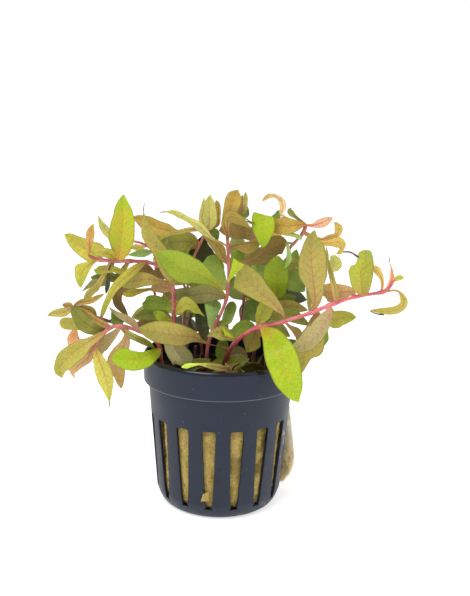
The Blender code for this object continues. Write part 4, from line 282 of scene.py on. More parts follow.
# Smaller leaves, and those round the back, in the same terms. They are one node with the stem they grow from.
SMALL_LEAVES = {
    "runner": [
        ([(1.2, 47.4, 0), (5, 47.4, -5), (9.6, 48.8, -8)], 4.4, 0, 8, "khaki", 0.05),
        ([(1.9, 49.4, 0), (5.5, 50.8, 3), (9, 49.4, 3)], 5, 0, 8, "olive", 0.05),
        ([(12.2, 59.8, 0), (12.6, 62.3, -0.5, 1.5, 1.7), (13.4, 64.4, -1, 2.4, 3),
         (14.8, 67.8, -1.6, 2.6, 2.9), (16.1, 70.2, -2)], 5.5, 0, 30, "green", 0.05, 0.75),
        ([(21, 61.3, 0), (22.8, 60.2, 0.6, 0.6), (24.8, 58.8, 1.2, 1.3), (25.5, 57.5, 1.5, 1.3),
         (25.1, 55.6, 2)], 2.6, 0, 10, "brown", 0.05, 0.54),
        ([(29.4, 65.6, 0), (28.9, 67.8, 0.7, 0.7), (28.6, 70.9, 1.3, 0.8), (27.5, 74.3, 2)], 1.6, 0, 4,
         "olive", 0.05, 0.58),
        ([(35.8, 67.6, 0), (34.8, 60.8, 8, 0.5), (34.8, 58, 8.4, 0.9), (34.6, 56.1, 8.7, 1.3),
         (34.7, 54.1, 9)], 2.6, 0, 6, "green", 0.05, 0.8),
        ([(37.4, 68.8, 0), (37.4, 69.3, 5.5, 0.2), (37, 73.1, 7, 0.2), (35.9, 77.4, 8.5, 0.2),
         (35.7, 79.4, 9.2, 0.9), (36.6, 81.2, 9.8, 2.3), (36.3, 83.4, 10.5, 1.8), (35.1, 84.6, 11)], 4.6, 0,
         4, "khaki", 0.05, 0.76),
        ([(52.5, 73.2, 0), (52.8, 75.1, 0, 0.5), (52.4, 77.3, 0, 0.7), (51.3, 79.2, 0, 1.1),
         (50, 80.5, 0.4, 1.1), (48.3, 80.9, 1)], 2.2, 0, 8, "gold", 0.05, 0.62),
        ([(53.1, 73.1, 0), (54.9, 74.5, 0, 0.6), (55.8, 77.2, 0, 0.8), (55.6, 79.4, 0, 0.5),
         (55.3, 81.1, 0, 0.2), (54.4, 83.1, 0)], 1.6, 0, 8, "orange", 0.05, 0.43),
        ([(56.4, 76.3, 0), (57.5, 77.4, 0, 0.8), (58.7, 77.7, 0, 0.8), (59.8, 77.5, 0)], 1.6, 0, 8, "yellow",
         0.05, 0.39),
        ([(4.9, 55.1, 0), (2, 56.9, -3.8, 1.8), (0, 57.7, -5.9, 2.5), (-2.1, 57.6, -7.2, 1.8),
         (-3.6, 57, -7.6, 0.9), (-4.8, 56.2, -8)], 5, 0, 8, "khaki", 0.05, 0.49),
        ([(11.9, 58.9, 0), (10.9, 56.8, 2.8, 2.1), (10.2, 54.6, 4.2, 3.1), (9.4, 52.7, 4.6, 1.8),
         (8.3, 51, 5)], 6.2, 0, 8, "olive", 0.05, 0.5),
    ],
    "centre": [
        ([(-0.1, 45.3, 0), (-0.1, 47.9, 4.5, 1.5), (0, 50.7, 6, 2.1), (0.4, 53.3, 7, 2.1),
         (0.5, 55.1, 7.5, 1.4), (0.5, 55.9, 8)], 4.2, 0, 8, "green", 0.05, 0.48),
        ([(-1.4, 48, 0), (-3.7, 47.7, -2.3, 0.8), (-6.4, 47.7, -4.6, 1), (-8.7, 47.8, -6.2, 0.7),
         (-9.8, 47.8, -7)], 2, 0, 8, "olive", 0.05, 0.57),
        ([(1.1, 80.5, 0), (-0.1, 83.3, 0.9, 1.4), (-1.5, 86, 1.9, 1.9), (-4, 88.3, 2.4, 1.3),
         (-7.2, 90.7, 3)], 3.8, 0, 10, "brown", 0.05, 0.42),
        ([(-0.3, 59.9, 0), (1.2, 61.4, 2.1, 1.6), (2.2, 63.9, 4.3, 1.9), (3.1, 66.6, 5.3, 1.8),
         (3.5, 68, 5.8, 1.1), (3.7, 68.5, 6)], 3.8, 0, 8, "dark", 0.05, 0.47),
        ([(-0.2, 57.2, 0), (3.6, 57.2, 2.3, 1.8), (6.1, 59.4, 4.3, 2.1), (8.4, 60.3, 5.5, 2),
         (10.3, 60.2, 6.5, 1.1), (11.3, 59.7, 7)], 4.2, 0, 8, "green", 0.05, 0.55),
        ([(1.9, 77.6, 0), (4.5, 82.3, 8), (6, 87, 11)], 5, 0, 8, "green", 0.05),
        ([(1.6, 95.6, 0), (2.8, 97.2, 0.9, 1.9), (3.9, 98.6, 1.7, 2.1), (4.6, 100.8, 2.3, 1.5),
         (5.3, 102.2, 2.7, 0.8), (5.8, 103.6, 3)], 4.2, 0, 8, "brown", 0.05, 0.39),
        ([(3.5, 95.8, 0), (6, 98.3, 3, 0.9), (6.7, 101.1, 4.7, 0.8), (6.7, 103.2, 5.5, 0.7),
         (6.8, 104.7, 6)], 1.8, 0, 8, "khaki", 0.05, 0.31),
        ([(3.5, 96.1, 0), (5.9, 97, 4.5, 1), (7.2, 98, 6.6, 1.3), (7.6, 99.9, 8)], 2.6, 0, 8, "dark", 0.05,
         0.67),
    ],
    "thin": [
        ([(-11.4, 75.6, 0), (-8, 77.4, 3), (-3, 78.4, 5)], 5, 0, 8, "olive", 0.05),
        ([(-12.6, 62, 0), (-9.4, 65.5, 5), (-8.8, 71, 8)], 5, 0, 8, "green", 0.05),
        ([(-6.1, 91.6, 0), (-6.8, 93.8, 0.4, 1), (-7.1, 95.9, 0.8, 1.2), (-6.8, 98.5, 1.2, 1.1),
         (-6.6, 100.8, 1.7, 0.7), (-6.8, 102.5, 2)], 2.4, 0, 8, "khaki", 0.05, 0.37),
        ([(-3.9, 91.7, 0), (-2.3, 93.7, 0.9, 0.7), (-1.9, 96.5, 1.9, 0.8), (-2, 99, 2.4, 0.9),
         (-2.4, 100.7, 2.8, 0.9), (-2.6, 101.8, 3)], 1.8, 0, 12, "olive", 0.05, 0.72),
        ([(-5.6, 91.5, 0), (-4.4, 91.8, 1.1, 0.9), (-3, 91.1, 2.1, 1.6), (-2.3, 89.7, 2.6, 0.9),
         (-2, 88.4, 3)], 3.2, 0, 8, "dark", 0.05, 0.47),
        ([(-9.3, 86.3, 0), (-10.4, 87.8, -1, 2.7), (-13.3, 88.1, -2.3, 3.5), (-16.2, 87.7, -3.2, 2.9),
         (-18.5, 86.8, -4)], 7, 0, 8, "olive", 0.05, 0.44),
        ([(-17.9, 85.2, 0), (-17.6, 87.1, 1.9, 0.7), (-16.8, 88.6, 3.2, 1.1), (-15.1, 89.8, 4)], 2.2, 0, 8,
         "green", 0.05, 0.63),
        ([(-10.9, 81.7, 0), (-12.1, 83.7, -3, 0.6), (-11.4, 85.5, -3.4, 0.5), (-10.4, 86.6, -3.2, 0.2),
         (-9.2, 88.3, -2.5)], 1.2, 0, 4, "yellow", 0.05, 0.26),
    ],
    "left": [
        ([(-18.4, 77.2, 0), (-22.5, 76, 3), (-26.5, 77.6, 5)], 5, 0, 8, "brown", 0.05),
        ([(-16, 72, 0), (-20.5, 73, 4), (-24, 71.6, 6)], 4.6, 0, 8, "tan", 0.05),
        ([(-15.6, 58.6, 0), (-21.5, 60, 6), (-29.6, 59.8, 8)], 5.5, 0, 8, "brown", 0.05),
        ([(-15.9, 62, 0), (-22, 63.8, 5), (-29.3, 62.4, 7)], 5, 0, 8, "olive", 0.05),
        ([(-16.1, 60.7, 0), (-18.3, 61.8, -1.3, 0.9), (-20.1, 62.8, -2, 1.7), (-21.8, 63.8, -2, 1.2),
         (-23, 64.3, -2)], 3.4, 0, 8, "lime", 0.05, 0.56),
        ([(-43.7, 83.1, 0), (-43.6, 84.7, -1.1, 0.3), (-43.7, 86.8, -2.5, 1), (-43.4, 89.8, -4, 1.3),
         (-43, 91.6, -4, 0.9), (-42.3, 93.2, -4)], 2.6, 0, 8, "orange", 0.05, 0.63),
        ([(-35.4, 81.3, 0), (-36.6, 83.2, -2.3, 1.5), (-39.7, 84, -5.1, 1.4), (-42.1, 83.9, -5.6, 1),
         (-43.9, 83.2, -6)], 3, 0, 8, "olive", 0.05, 0.25),
        ([(-34.8, 83.5, 0), (-36.2, 88.6, 2.9, 1.4), (-38.1, 90.8, 4.3, 1.4), (-39.3, 92.5, 4.9, 1.2),
         (-40.2, 94.2, 5.4, 0.6), (-40.7, 96.1, 6)], 2.8, 0, 8, "khaki", 0.05, 0.34),
        ([(-30.5, 80.1, 0), (-33, 77.9, -0.5, 0.8), (-35.9, 78.4, -1, 1.1), (-39.2, 78.2, -1, 1.4),
         (-41.2, 77.8, -1, 1.2), (-42.3, 78.3, -1)], 2.8, 0, 10, "green", 0.05, 0.73),
        ([(-31.2, 78.6, 0), (-34.5, 75.9, 2.6, 1.3), (-37.4, 75.8, 4.2, 1.6), (-40.6, 75.3, 5.2, 1.6),
         (-42.7, 75.4, 5.8, 0.8), (-43.5, 75.6, 6)], 3.2, 0, 8, "brown", 0.05, 0.52),
        ([(-35.4, 76.8, 0), (-38.4, 74.2, 3.3, 1), (-42, 73.9, 6.1, 1.2), (-44.3, 72.4, 7, 0.7),
         (-46.5, 70.6, 8)], 2.4, 0, 8, "olive", 0.05, 0.55),
        ([(-37.1, 75.4, 0), (-41, 73, 1.7, 1), (-42.9, 71.1, 2.3, 1.2), (-44.5, 69.4, 2.7, 1.1),
         (-45.9, 67.9, 3)], 2.4, 0, 8, "yellow", 0.05, 0.61),
        ([(-36.1, 81, 0), (-36.9, 79.8, 0.3, 0.2), (-37.5, 77.1, 0.8, 0.4), (-37.7, 74.1, 1.3, 0.7),
         (-38.1, 71.9, 1.7, 0.7), (-38.5, 70, 2)], 1.4, 0, 4, "dark", 0.05, 0.62),
    ],
    "low_left": [
        ([(-34.2, 58.5, 0), (-31.1, 56.6, -1, 1), (-28.1, 55.1, -2, 1.1), (-24.7, 53.5, 0.5, 1),
         (-21.8, 51.5, 3)], 2.2, 0, 6, "olive", 0.05, 0.47),
        ([(-33.4, 58.4, 0), (-36.1, 56.2, 1.5, 1.3), (-38.7, 53.7, 3, 2), (-40.1, 51.6, 3.5, 1.9),
         (-40.2, 48.9, 4)], 4, 0, 6, "mauve", 0.05, 0.55),
        ([(-42.2, 54.3, 0), (-44.9, 52.7, 4.4, 1.9), (-47.7, 52.8, 7.5, 1.8), (-49.2, 53.8, 8.6, 2.6, 2.7),
         (-49, 56.2, 9, 1.8), (-48.8, 57.4, 9, 1, 1.3), (-48.4, 58.2, 9)], 5.3, 0, 10, "orange", 0.05, 0.61),
        ([(-27.6, 58.5, 0), (-29.3, 60.2, 0.5, 1.1), (-32, 61.9, 1.1, 1.2), (-34.9, 63.4, 2, 0.8),
         (-37.7, 65.7, 3)], 2.4, 0, 8, "mauve", 0.05, 0.43),
        ([(-37, 59.4, 0), (-39, 59.6, 0.6, 1.1), (-41.8, 61.1, 0.5, 1), (-44.5, 63, 0, 1.1),
         (-46.8, 64.6, -0.3, 0.8), (-48.7, 65.7, -0.5)], 2.2, 0, 8, "khaki", 0.05, 0.25),
    ],
    "side_left": [
        ([(-50.1, 64.8, 0), (-52, 63.7, -0.6, 1.4), (-54.4, 63.3, -1.2, 1.3), (-56.5, 62.8, -1.6, 0.8),
         (-58, 62.1, -2)], 2.8, 0, 8, "gold", 0.05, 0.25),
        ([(-49.2, 65.9, 0), (-50.5, 65.8, 0.5, 1.1), (-52.2, 66, 1, 0.7), (-53, 66, 1)], 2.2, 0, 8, "olive",
         0.05, 0.31),
        ([(-49.2, 65.8, 0), (-47.7, 66.7, 0, 0.7), (-46.1, 67.2, 0, 1), (-43.2, 67.8, 0.1, 1),
         (-40.9, 69, 0.6, 0.7), (-38.8, 70.2, 1)], 2, 0, 8, "gold", 0.05, 0.26),
        ([(-48.8, 65.7, 0), (-46.5, 65.3, 1.6, 0.8), (-44.1, 64.6, 3.2, 1.3), (-42.6, 63.6, 4.1, 1),
         (-41.5, 62.4, 5)], 2.6, 0, 8, "khaki", 0.05, 0.57),
        ([(-40.2, 59.8, 0), (-44, 59.3, 2.8, 1.6), (-48.8, 59.6, 4.4, 1.9), (-51.8, 59.8, 4.7, 2),
         (-53.5, 59.9, 4.9, 1.3), (-54.1, 59.8, 5)], 4, 0, 8, "gold", 0.05, 0.8),
        ([(-38, 61, 0), (-34.6, 60.6, 2), (-36.6, 64.6, 3)], 4, 0, 8, "dark", 0.05),
    ],
    "back_left": [
        ([(-18.6, 61, 0), (-24.5, 63.6, 4), (-30, 62.4, 7)], 6.5, 0, 8, "olive", 0.05),
        ([(-20.6, 65.2, 0), (-16.5, 69.5, 3), (-12.6, 71, 5)], 6, 0, 8, "khaki", 0.05),
        ([(-23.6, 76.4, 0), (-19.6, 79.5, 3), (-14.5, 80.5, 5)], 6.5, 0, 8, "olive", 0.05),
        ([(-23.7, 84.2, 0), (-26.1, 84, -2.4, 1.4), (-28.6, 83.6, -3.8, 1), (-29.9, 83.4, -4.4, 0.6),
         (-31.2, 83.2, -5)], 2.8, 0, 8, "green", 0.05, 0.29),
        ([(-25.1, 86.2, 0), (-27, 85.8, 2.8, 1), (-28.9, 85.8, 4.9, 1), (-30.1, 85.2, 6)], 2, 0, 8, "yellow",
         0.05, 0.34),
        ([(-24, 78, 0), (-27.5, 79, -4), (-31, 77.2, -6)], 4, 0, 8, "brown", 0.05),
        ([(-23.1, 73.9, 0), (-28.9, 73.4, -3.7, 1.1), (-33.9, 71.5, -6.9, 1.5), (-34.8, 67.6, -9, 1.7),
         (-33.1, 64.9, -9.5, 1.3), (-31.1, 62.8, -10)], 3.4, 0, 8, "brown", 0.05, 0.7),
        ([(-23.6, 72.2, 0), (-26.7, 71.4, -1.8, 0.8), (-30.2, 70.6, -3.3, 1.5), (-32.3, 70.6, -3.7, 1.3),
         (-33.9, 70.1, -4)], 3, 0, 8, "yellow", 0.05, 0.62),
        ([(-30, 88, 0), (-32.5, 94, 5), (-33, 99, 8)], 6, 0, 8, "olive", 0.05),
        ([(-24.2, 80.5, 0), (-20, 86, 5), (-18, 91, 8)], 7, 0, 8, "khaki", 0.05),
    ],
    "right": [
        ([(15.8, 77.5, 0), (13.5, 78.8, 0.8, 2.3), (11.5, 78.2, 1, 2.1), (10, 78.8, 1)], 4.6, 0, 8, "green",
         0.05, 0.39),
        ([(18.6, 77, 0), (22.4, 81, 7), (24, 86.4, 10)], 6.5, 0, 8, "green", 0.05),
        ([(13.8, 61.2, 0), (10.6, 64.5, 3), (9.8, 70, 4)], 5, 0, 8, "dark", 0.05),
        ([(15.2, 65.8, 0), (20, 68.6, -1), (24.5, 70.6, -1)], 5.5, 0, 8, "green", 0.05),
        ([(17.4, 73, 0), (22, 76.3, 1), (27.3, 72.4, 2)], 8, 0, 8, "dark", 0.05),
        ([(19.2, 79, 0), (22, 81.6, 2), (25.2, 81.5, 3)], 5, 0, 8, "green", 0.05),
        ([(22, 89, 0), (20.8, 88.4, -1.2, 0.5), (21.2, 86.4, -2.8, 0.6), (21.6, 83.3, -4, 0.9),
         (21, 81.4, -4, 0.7), (20.2, 79.9, -4)], 1.8, 0, 8, "green", 0.05, 0.61),
        ([(16.2, 69, 0), (22, 70.6, 5), (28, 69.5, 9)], 6, 0, 8, "dark", 0.05),
        ([(15, 65, 0), (19.5, 66.5, 5), (21.4, 72.5, 8)], 5, 0, 8, "green", 0.05),
        ([(15.6, 67, 0), (22, 67.2, -3), (28.6, 66, -5)], 4.5, 0, 8, "khaki", 0.05),
        ([(13.7, 60.8, 0), (16, 64, 4), (21, 63.6, 6)], 5, 0, 8, "dark", 0.05),
        ([(14.4, 63, 0), (22, 64.4, -6), (29.5, 60.8, -10)], 5, 0, 8, "olive", 0.05),
        ([(13.4, 59.6, 0), (18, 60, -6), (23, 56.8, -9)], 5, 0, 8, "olive", 0.05),
        ([(13.5, 57.5, 0), (17.6, 55.5, -1.7, 1.5), (21.1, 54.1, -2.4, 1.5), (23.6, 54.8, -2.8, 1.4),
         (25, 55.8, -3)], 3, 0, 6, "green", 0.05, 0.33),
        ([(24.6, 95.8, 0), (23.2, 96.9, 1.2, 0.6), (22, 97.9, 2.1, 1), (21.2, 98.9, 2.6, 0.9),
         (21.5, 100, 3)], 2, 0, 8, "olive", 0.05, 0.57),
        ([(27, 89.6, 0), (25.2, 90.2, -1.5, 0.7), (23, 91, -2.3, 0.7), (21.3, 91.1, -2.7, 0.5),
         (19.7, 90.7, -3)], 1.4, 0, 8, "green", 0.05, 0.25),
        ([(25.8, 92.4, 0), (31.5, 89.8, 2.7, 0.6), (34.3, 90.5, 2.6, 0.9), (36.7, 91.3, 2.1, 1),
         (37.4, 93.4, 2, 1.4), (36.6, 94.8, 2, 0.9), (35.7, 95.6, 2)], 2.8, 0, 10, "yellow", 0.15, 0.8),
        ([(25.8, 92, 0), (32, 88.7, 0.9, 0.8), (35.1, 88.8, 0.6, 1.2), (37.2, 88.9, 0.3, 1.9),
         (38.5, 88.2, 0, 1.7), (38.7, 86.6, 0, 0.7), (38.3, 85.8, 0, 0.9), (36.9, 85, 0)], 3.8, 0, 10,
         "yellow", 0.2, 0.61),
        ([(27.5, 93.9, 0), (28.9, 94.3, 0, 0.7), (30.7, 94.8, 0, 1.4), (32.6, 95.5, 0.4, 1.5),
         (34.4, 96.5, 0.8, 0.8), (35.3, 96.9, 1)], 3, 0, 10, "orange", 0.1, 0.6),
    ],
    "back_centre": [
        ([(7.2, 69, 0), (4, 72.6, 5), (2.4, 78, 8)], 6, 0, 8, "green", 0.05),
        ([(8.8, 81.4, 0), (13, 84, 3), (15.4, 89, 4)], 6, 0, 8, "olive", 0.05),
        ([(12.3, 94.1, 0), (9, 94.4, -1.2, 0.4), (8.5, 95.1, -10.6, 1.6), (7.5, 95.7, -10.6, 1.3),
         (6.1, 96.5, -10.2, 0.6), (4.7, 97.2, -10)], 4, 0, 6, "lime", 0.05, 0.36),
        ([(15.2, 96.4, 0), (16.9, 97, 2.3, 1.1), (17.5, 98.1, 3.4, 0.9), (18, 99.1, 4)], 2.2, 0, 6, "dark",
         0.05, 0.39),
        ([(7.2, 70, 0), (10.2, 72, -3), (14, 76, -4)], 5, 0, 8, "olive", 0.05),
        ([(8.6, 80.5, 0), (5, 86, 5), (4, 92, 8)], 7, 0, 8, "olive", 0.05),
        ([(6.2, 61, 0), (9, 66, 5), (12.5, 69, 8)], 6.5, 0, 8, "green", 0.05),
    ],
    "rear_left": [
        ([(-7.6, 65, 0), (-14, 67, 8), (-22, 66.5, 14)], 8, 0, 8, "green", 0.05),
        ([(-9.2, 68.4, 0), (-7.4, 73.5, 2), (-8.5, 79, 3)], 7.5, 0, 8, "olive", 0.05),
        ([(-13.2, 74.8, 0), (-18, 79, 7), (-23, 82.5, 12)], 8, 0, 8, "khaki", 0.05),
        ([(-14.8, 78.4, 0), (-11.5, 83.5, 5), (-9, 87.4, 8)], 7.5, 0, 8, "green", 0.05),
        ([(-15.9, 84.8, 0), (-19.5, 88.6, 4), (-22, 92.6, 7)], 6, 0, 8, "olive", 0.05),
        ([(-7.1, 58, 0), (-12, 60.5, 7), (-18, 58, 13)], 7, 0, 8, "dark", 0.05),
        ([(-15.8, 84, 0), (-13.5, 88, 4), (-12.4, 91, 7)], 5, 0, 8, "khaki", 0.05),
    ],
    "rear_right": [
        ([(13.5, 66, 0), (18, 70, 8), (22.5, 73.5, 14)], 8, 0, 8, "green", 0.05),
        ([(13.9, 68.4, 0), (9.5, 72, 7), (5.5, 75.5, 13)], 8, 0, 8, "olive", 0.05),
        ([(14.5, 76, 0), (18, 78.5, 8), (22.5, 80, 14)], 7.5, 0, 8, "khaki", 0.05),
        ([(14.5, 78.4, 0), (11, 83, 7), (10, 88, 11)], 8, 0, 8, "green", 0.05),
        ([(14.9, 85, 0), (16.5, 89.5, 4), (15, 94, 7)], 6, 0, 8, "gold", 0.05),
        ([(11.4, 57.8, 0), (15, 60.5, 7), (18.5, 58, 13)], 7, 0, 8, "dark", 0.05),
        ([(11.8, 59.2, 0), (8, 59.6, 8), (4.5, 58, 14)], 7, 0, 8, "green", 0.05),
    ],
    "rear_centre": [
        ([(-2.9, 69.2, 0), (-8, 75, 6), (-13, 78, 10)], 8, 0, 8, "green", 0.05),
        ([(-4, 74.5, 0), (-2.8, 80, 6), (-4, 85, 9)], 7.5, 0, 8, "olive", 0.05),
        ([(-4.8, 78.6, 0), (-8.4, 83.5, 4), (-9, 88, 7)], 7, 0, 8, "khaki", 0.05),
        ([(-0.6, 60, 0), (-5, 62, 8), (-9, 59.5, 14)], 7, 0, 8, "dark", 0.05),
        ([(-1.3, 59.5, 0), (0.6, 60, 5), (2.3, 59.2, 9)], 4, 0, 8, "green", 0.05),
        ([(-2.3, 65.6, 0), (-5.5, 67.4, 8), (-8.5, 65.5, 14)], 7, 0, 8, "olive", 0.05),
    ],
}


# Courses in space, as in the part's source

def place(across, up, depth):
    """A point as it is seen, slid along the viewer's line of sight to its depth."""
    reach = (EYE_DISTANCE + depth) / EYE_DISTANCE
    return np.array([across * reach, depth, EYE_HEIGHT + (up - EYE_HEIGHT) * reach])


def unit(vectors):
    return vectors / np.linalg.norm(vectors, axis=-1, keepdims=True)


def smooth(points, fractions):
    """Points and directions at these shares of the length of a smooth curve through the given points."""
    points = np.asarray(points, float)
    ends = np.vstack([2 * points[0] - points[1], points, 2 * points[-1] - points[-2]])
    steps = np.linspace(0, 1, 13)[:-1, None]
    dense = []
    for before, here, there, after in zip(ends, ends[1:], ends[2:], ends[3:]):
        pull = (there - before) * steps + (2 * before - 5 * here + 4 * there - after) * steps**2
        dense.append(here + 0.5 * (pull + (3 * here - before - 3 * there + after) * steps**3))
    dense = np.vstack([*dense, points[-1:]])
    run = np.concatenate([[0], np.cumsum(np.linalg.norm(np.diff(dense[:, :3], axis=0), axis=1))])
    at = np.asarray(fractions) * run[-1]
    found = np.stack([np.interp(at, run, column) for column in dense.T], -1)
    reach = run[-1] * 0.02
    ahead = np.stack([np.interp(at + reach, run, column) for column in dense.T], -1)
    behind = np.stack([np.interp(at - reach, run, column) for column in dense.T], -1)
    return found, unit(ahead[:, :3] - behind[:, :3])


def stem_course(name):
    root, course, *_ = STEMS[name]
    points = [place(*point) for point in course]
    return [np.array([*root, ROOT_Z])] + points if root else points


def carry_normals(directions, normal, start):
    """Normals along a curve, carried both ways from one that is given at its point number start."""
    normals = [None] * len(directions)
    for order in (range(start, len(directions)), range(start, -1, -1)):
        carried = normal
        for number in order:
            carried = unit(carried - directions[number] * (carried @ directions[number]))
            normals[number] = carried
    return np.array(normals)


def seen(points):
    """Where points in space show on the upright plane through the axis: across and up."""
    reach = (EYE_DISTANCE + points[:, 1]) / EYE_DISTANCE
    return np.stack([points[:, 0] / reach, EYE_HEIGHT + (points[:, 2] - EYE_HEIGHT) / reach], -1)


def node_share(stem, row):
    """The share of its stem's length at which a leaf grows."""
    axis, _ = smooth(stem_course(stem), np.linspace(0, 1, 120))
    return np.linalg.norm(seen(axis) - np.array(row[0][0][:2]), axis=1).argmin() / 119


def leaf_course(stem, row):
    """The midrib's points in space, with the blade's reach to either side where the row tells it."""
    start, _ = smooth(stem_course(stem), [node_share(stem, row)])
    depth = start[0][1]
    points = [start[0]] + [place(across, up, depth + further) for across, up, further, *_ in row[0][1:]]
    if len(row[0][1]) == 3:
        return points
    told = [point[3:] for point in row[0]]
    told[0] = (STALK_WIDTH / 2,)
    told[-1] = told[-1] or (0.05,)
    return [[*point, reach[0], reach[-1]] for point, reach in zip(points, told)]


def leaf_width(share, width, stalk, widest=0.46):
    """The width at a share of the leaf's length: a bare stalk, then a blade, widest at its share widest."""
    blade = np.clip((share - stalk) / (1 - stalk), 0, 1)
    full = width * np.sin(pi * blade ** (log(0.5) / log(widest))) ** 0.8
    near_tip = np.clip((1 - share) / 0.1, 0, 1)
    return np.maximum(full, STALK_WIDTH * near_tip)


def ease(value, low, high):
    """0 below low, 1 above high, and a smooth rise between."""
    share = np.clip((value - low) / (high - low), 0, 1)
    return share * share * (3 - 2 * share)


def hump(value, middle, reach):
    return np.exp(-((value - middle) / reach) ** 2)


# Meshes

def mesh_piece(name, vertices, faces, material, nodes=(), attributes=None, sharp=60):
    """An object of the part from millimetre points, riding on the row's one body."""
    mesh = bpy.data.meshes.new(name)
    mesh.from_pydata((np.asarray(vertices, float).reshape(-1, 3) * MM).tolist(), [], faces)
    for key, values in (attributes or {}).items():
        layer = mesh.attributes.new(key, "FLOAT", "POINT")
        layer.data.foreach_set("value", np.asarray(values, np.float32).ravel())
    work = bmesh.new()
    work.from_mesh(mesh)
    bmesh.ops.recalc_face_normals(work, faces=work.faces)
    work.to_mesh(mesh)
    work.free()
    mesh.shade_smooth()
    if sharp:
        mesh.set_sharp_from_angle(angle=radians(sharp))
    mesh.materials.append(material)
    thing = bpy.data.objects.new(name, mesh)
    bpy.context.scene.collection.objects.link(thing)
    if nodes:
        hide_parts(*nodes)
    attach(thing, "root")
    return thing


def grid_faces(rows, columns, closed=False, start=0):
    faces = []
    for row in range(rows - 1):
        for column in range(columns if closed else columns - 1):
            here = start + row * columns + column
            there = start + row * columns + (column + 1) % columns
            faces.append((here, there, there + columns, here + columns))
    return faces


def two_skins(rows, columns):
    """Faces of two equal grids, one behind the other, with a wall all round that joins them."""
    count = rows * columns
    faces = grid_faces(rows, columns)
    faces += grid_faces(rows, columns, start=count)
    edge = [*range(columns), *range(2 * columns - 1, count, columns)]
    edge += [*range(count - 2, count - columns - 1, -1), *range(count - 2 * columns, 0, -columns)]
    for here, there in zip(edge, edge[1:] + edge[:1]):
        faces.append((here, there, there + count, here + count))
    return faces


def square_shares(count):
    """The shares down and across of the points of a square grid, row by row."""
    steps = np.linspace(0, 1, count)
    return np.repeat(steps, count), np.tile(steps, count)


def tube_mesh(centres, radii, sides, first_normal=(0.1, -1.0, 0.2)):
    """Rings of points round a course, closed at both ends with a fan to a middle point."""
    along = unit(np.gradient(centres, axis=0))
    normals = carry_normals(along, np.array(first_normal), 0)
    sideways = np.cross(along, normals)
    angles = np.arange(sides)[:, None] * 2 * pi / sides
    ring = normals[:, None] * np.cos(angles) + sideways[:, None] * np.sin(angles)
    points = centres[:, None] + ring * np.asarray(radii)[:, None, None]
    count = len(centres)
    vertices = np.vstack([points.reshape(-1, 3), centres[:1], centres[-1:]])
    faces = grid_faces(count, sides, True)
    first = count * sides
    for side in range(sides):
        after = (side + 1) % sides
        faces.append((side, after, first))
        faces.append((first - sides + side, first - sides + after, first + 1))
    return vertices, faces


def tube_numbers(along, shares, length, sides, turn):
    """The numbers that a tube's material reads, at each ring's points and then at the two ends."""
    ringed = lambda values: np.append(np.repeat(values, sides), [values[0], values[-1]])
    return {
        "along": ringed(along),
        "along_mm": ringed(shares * length),
        "across_mm": np.append(np.tile(np.arange(sides) * turn, len(shares)), [0, 0]),
    }


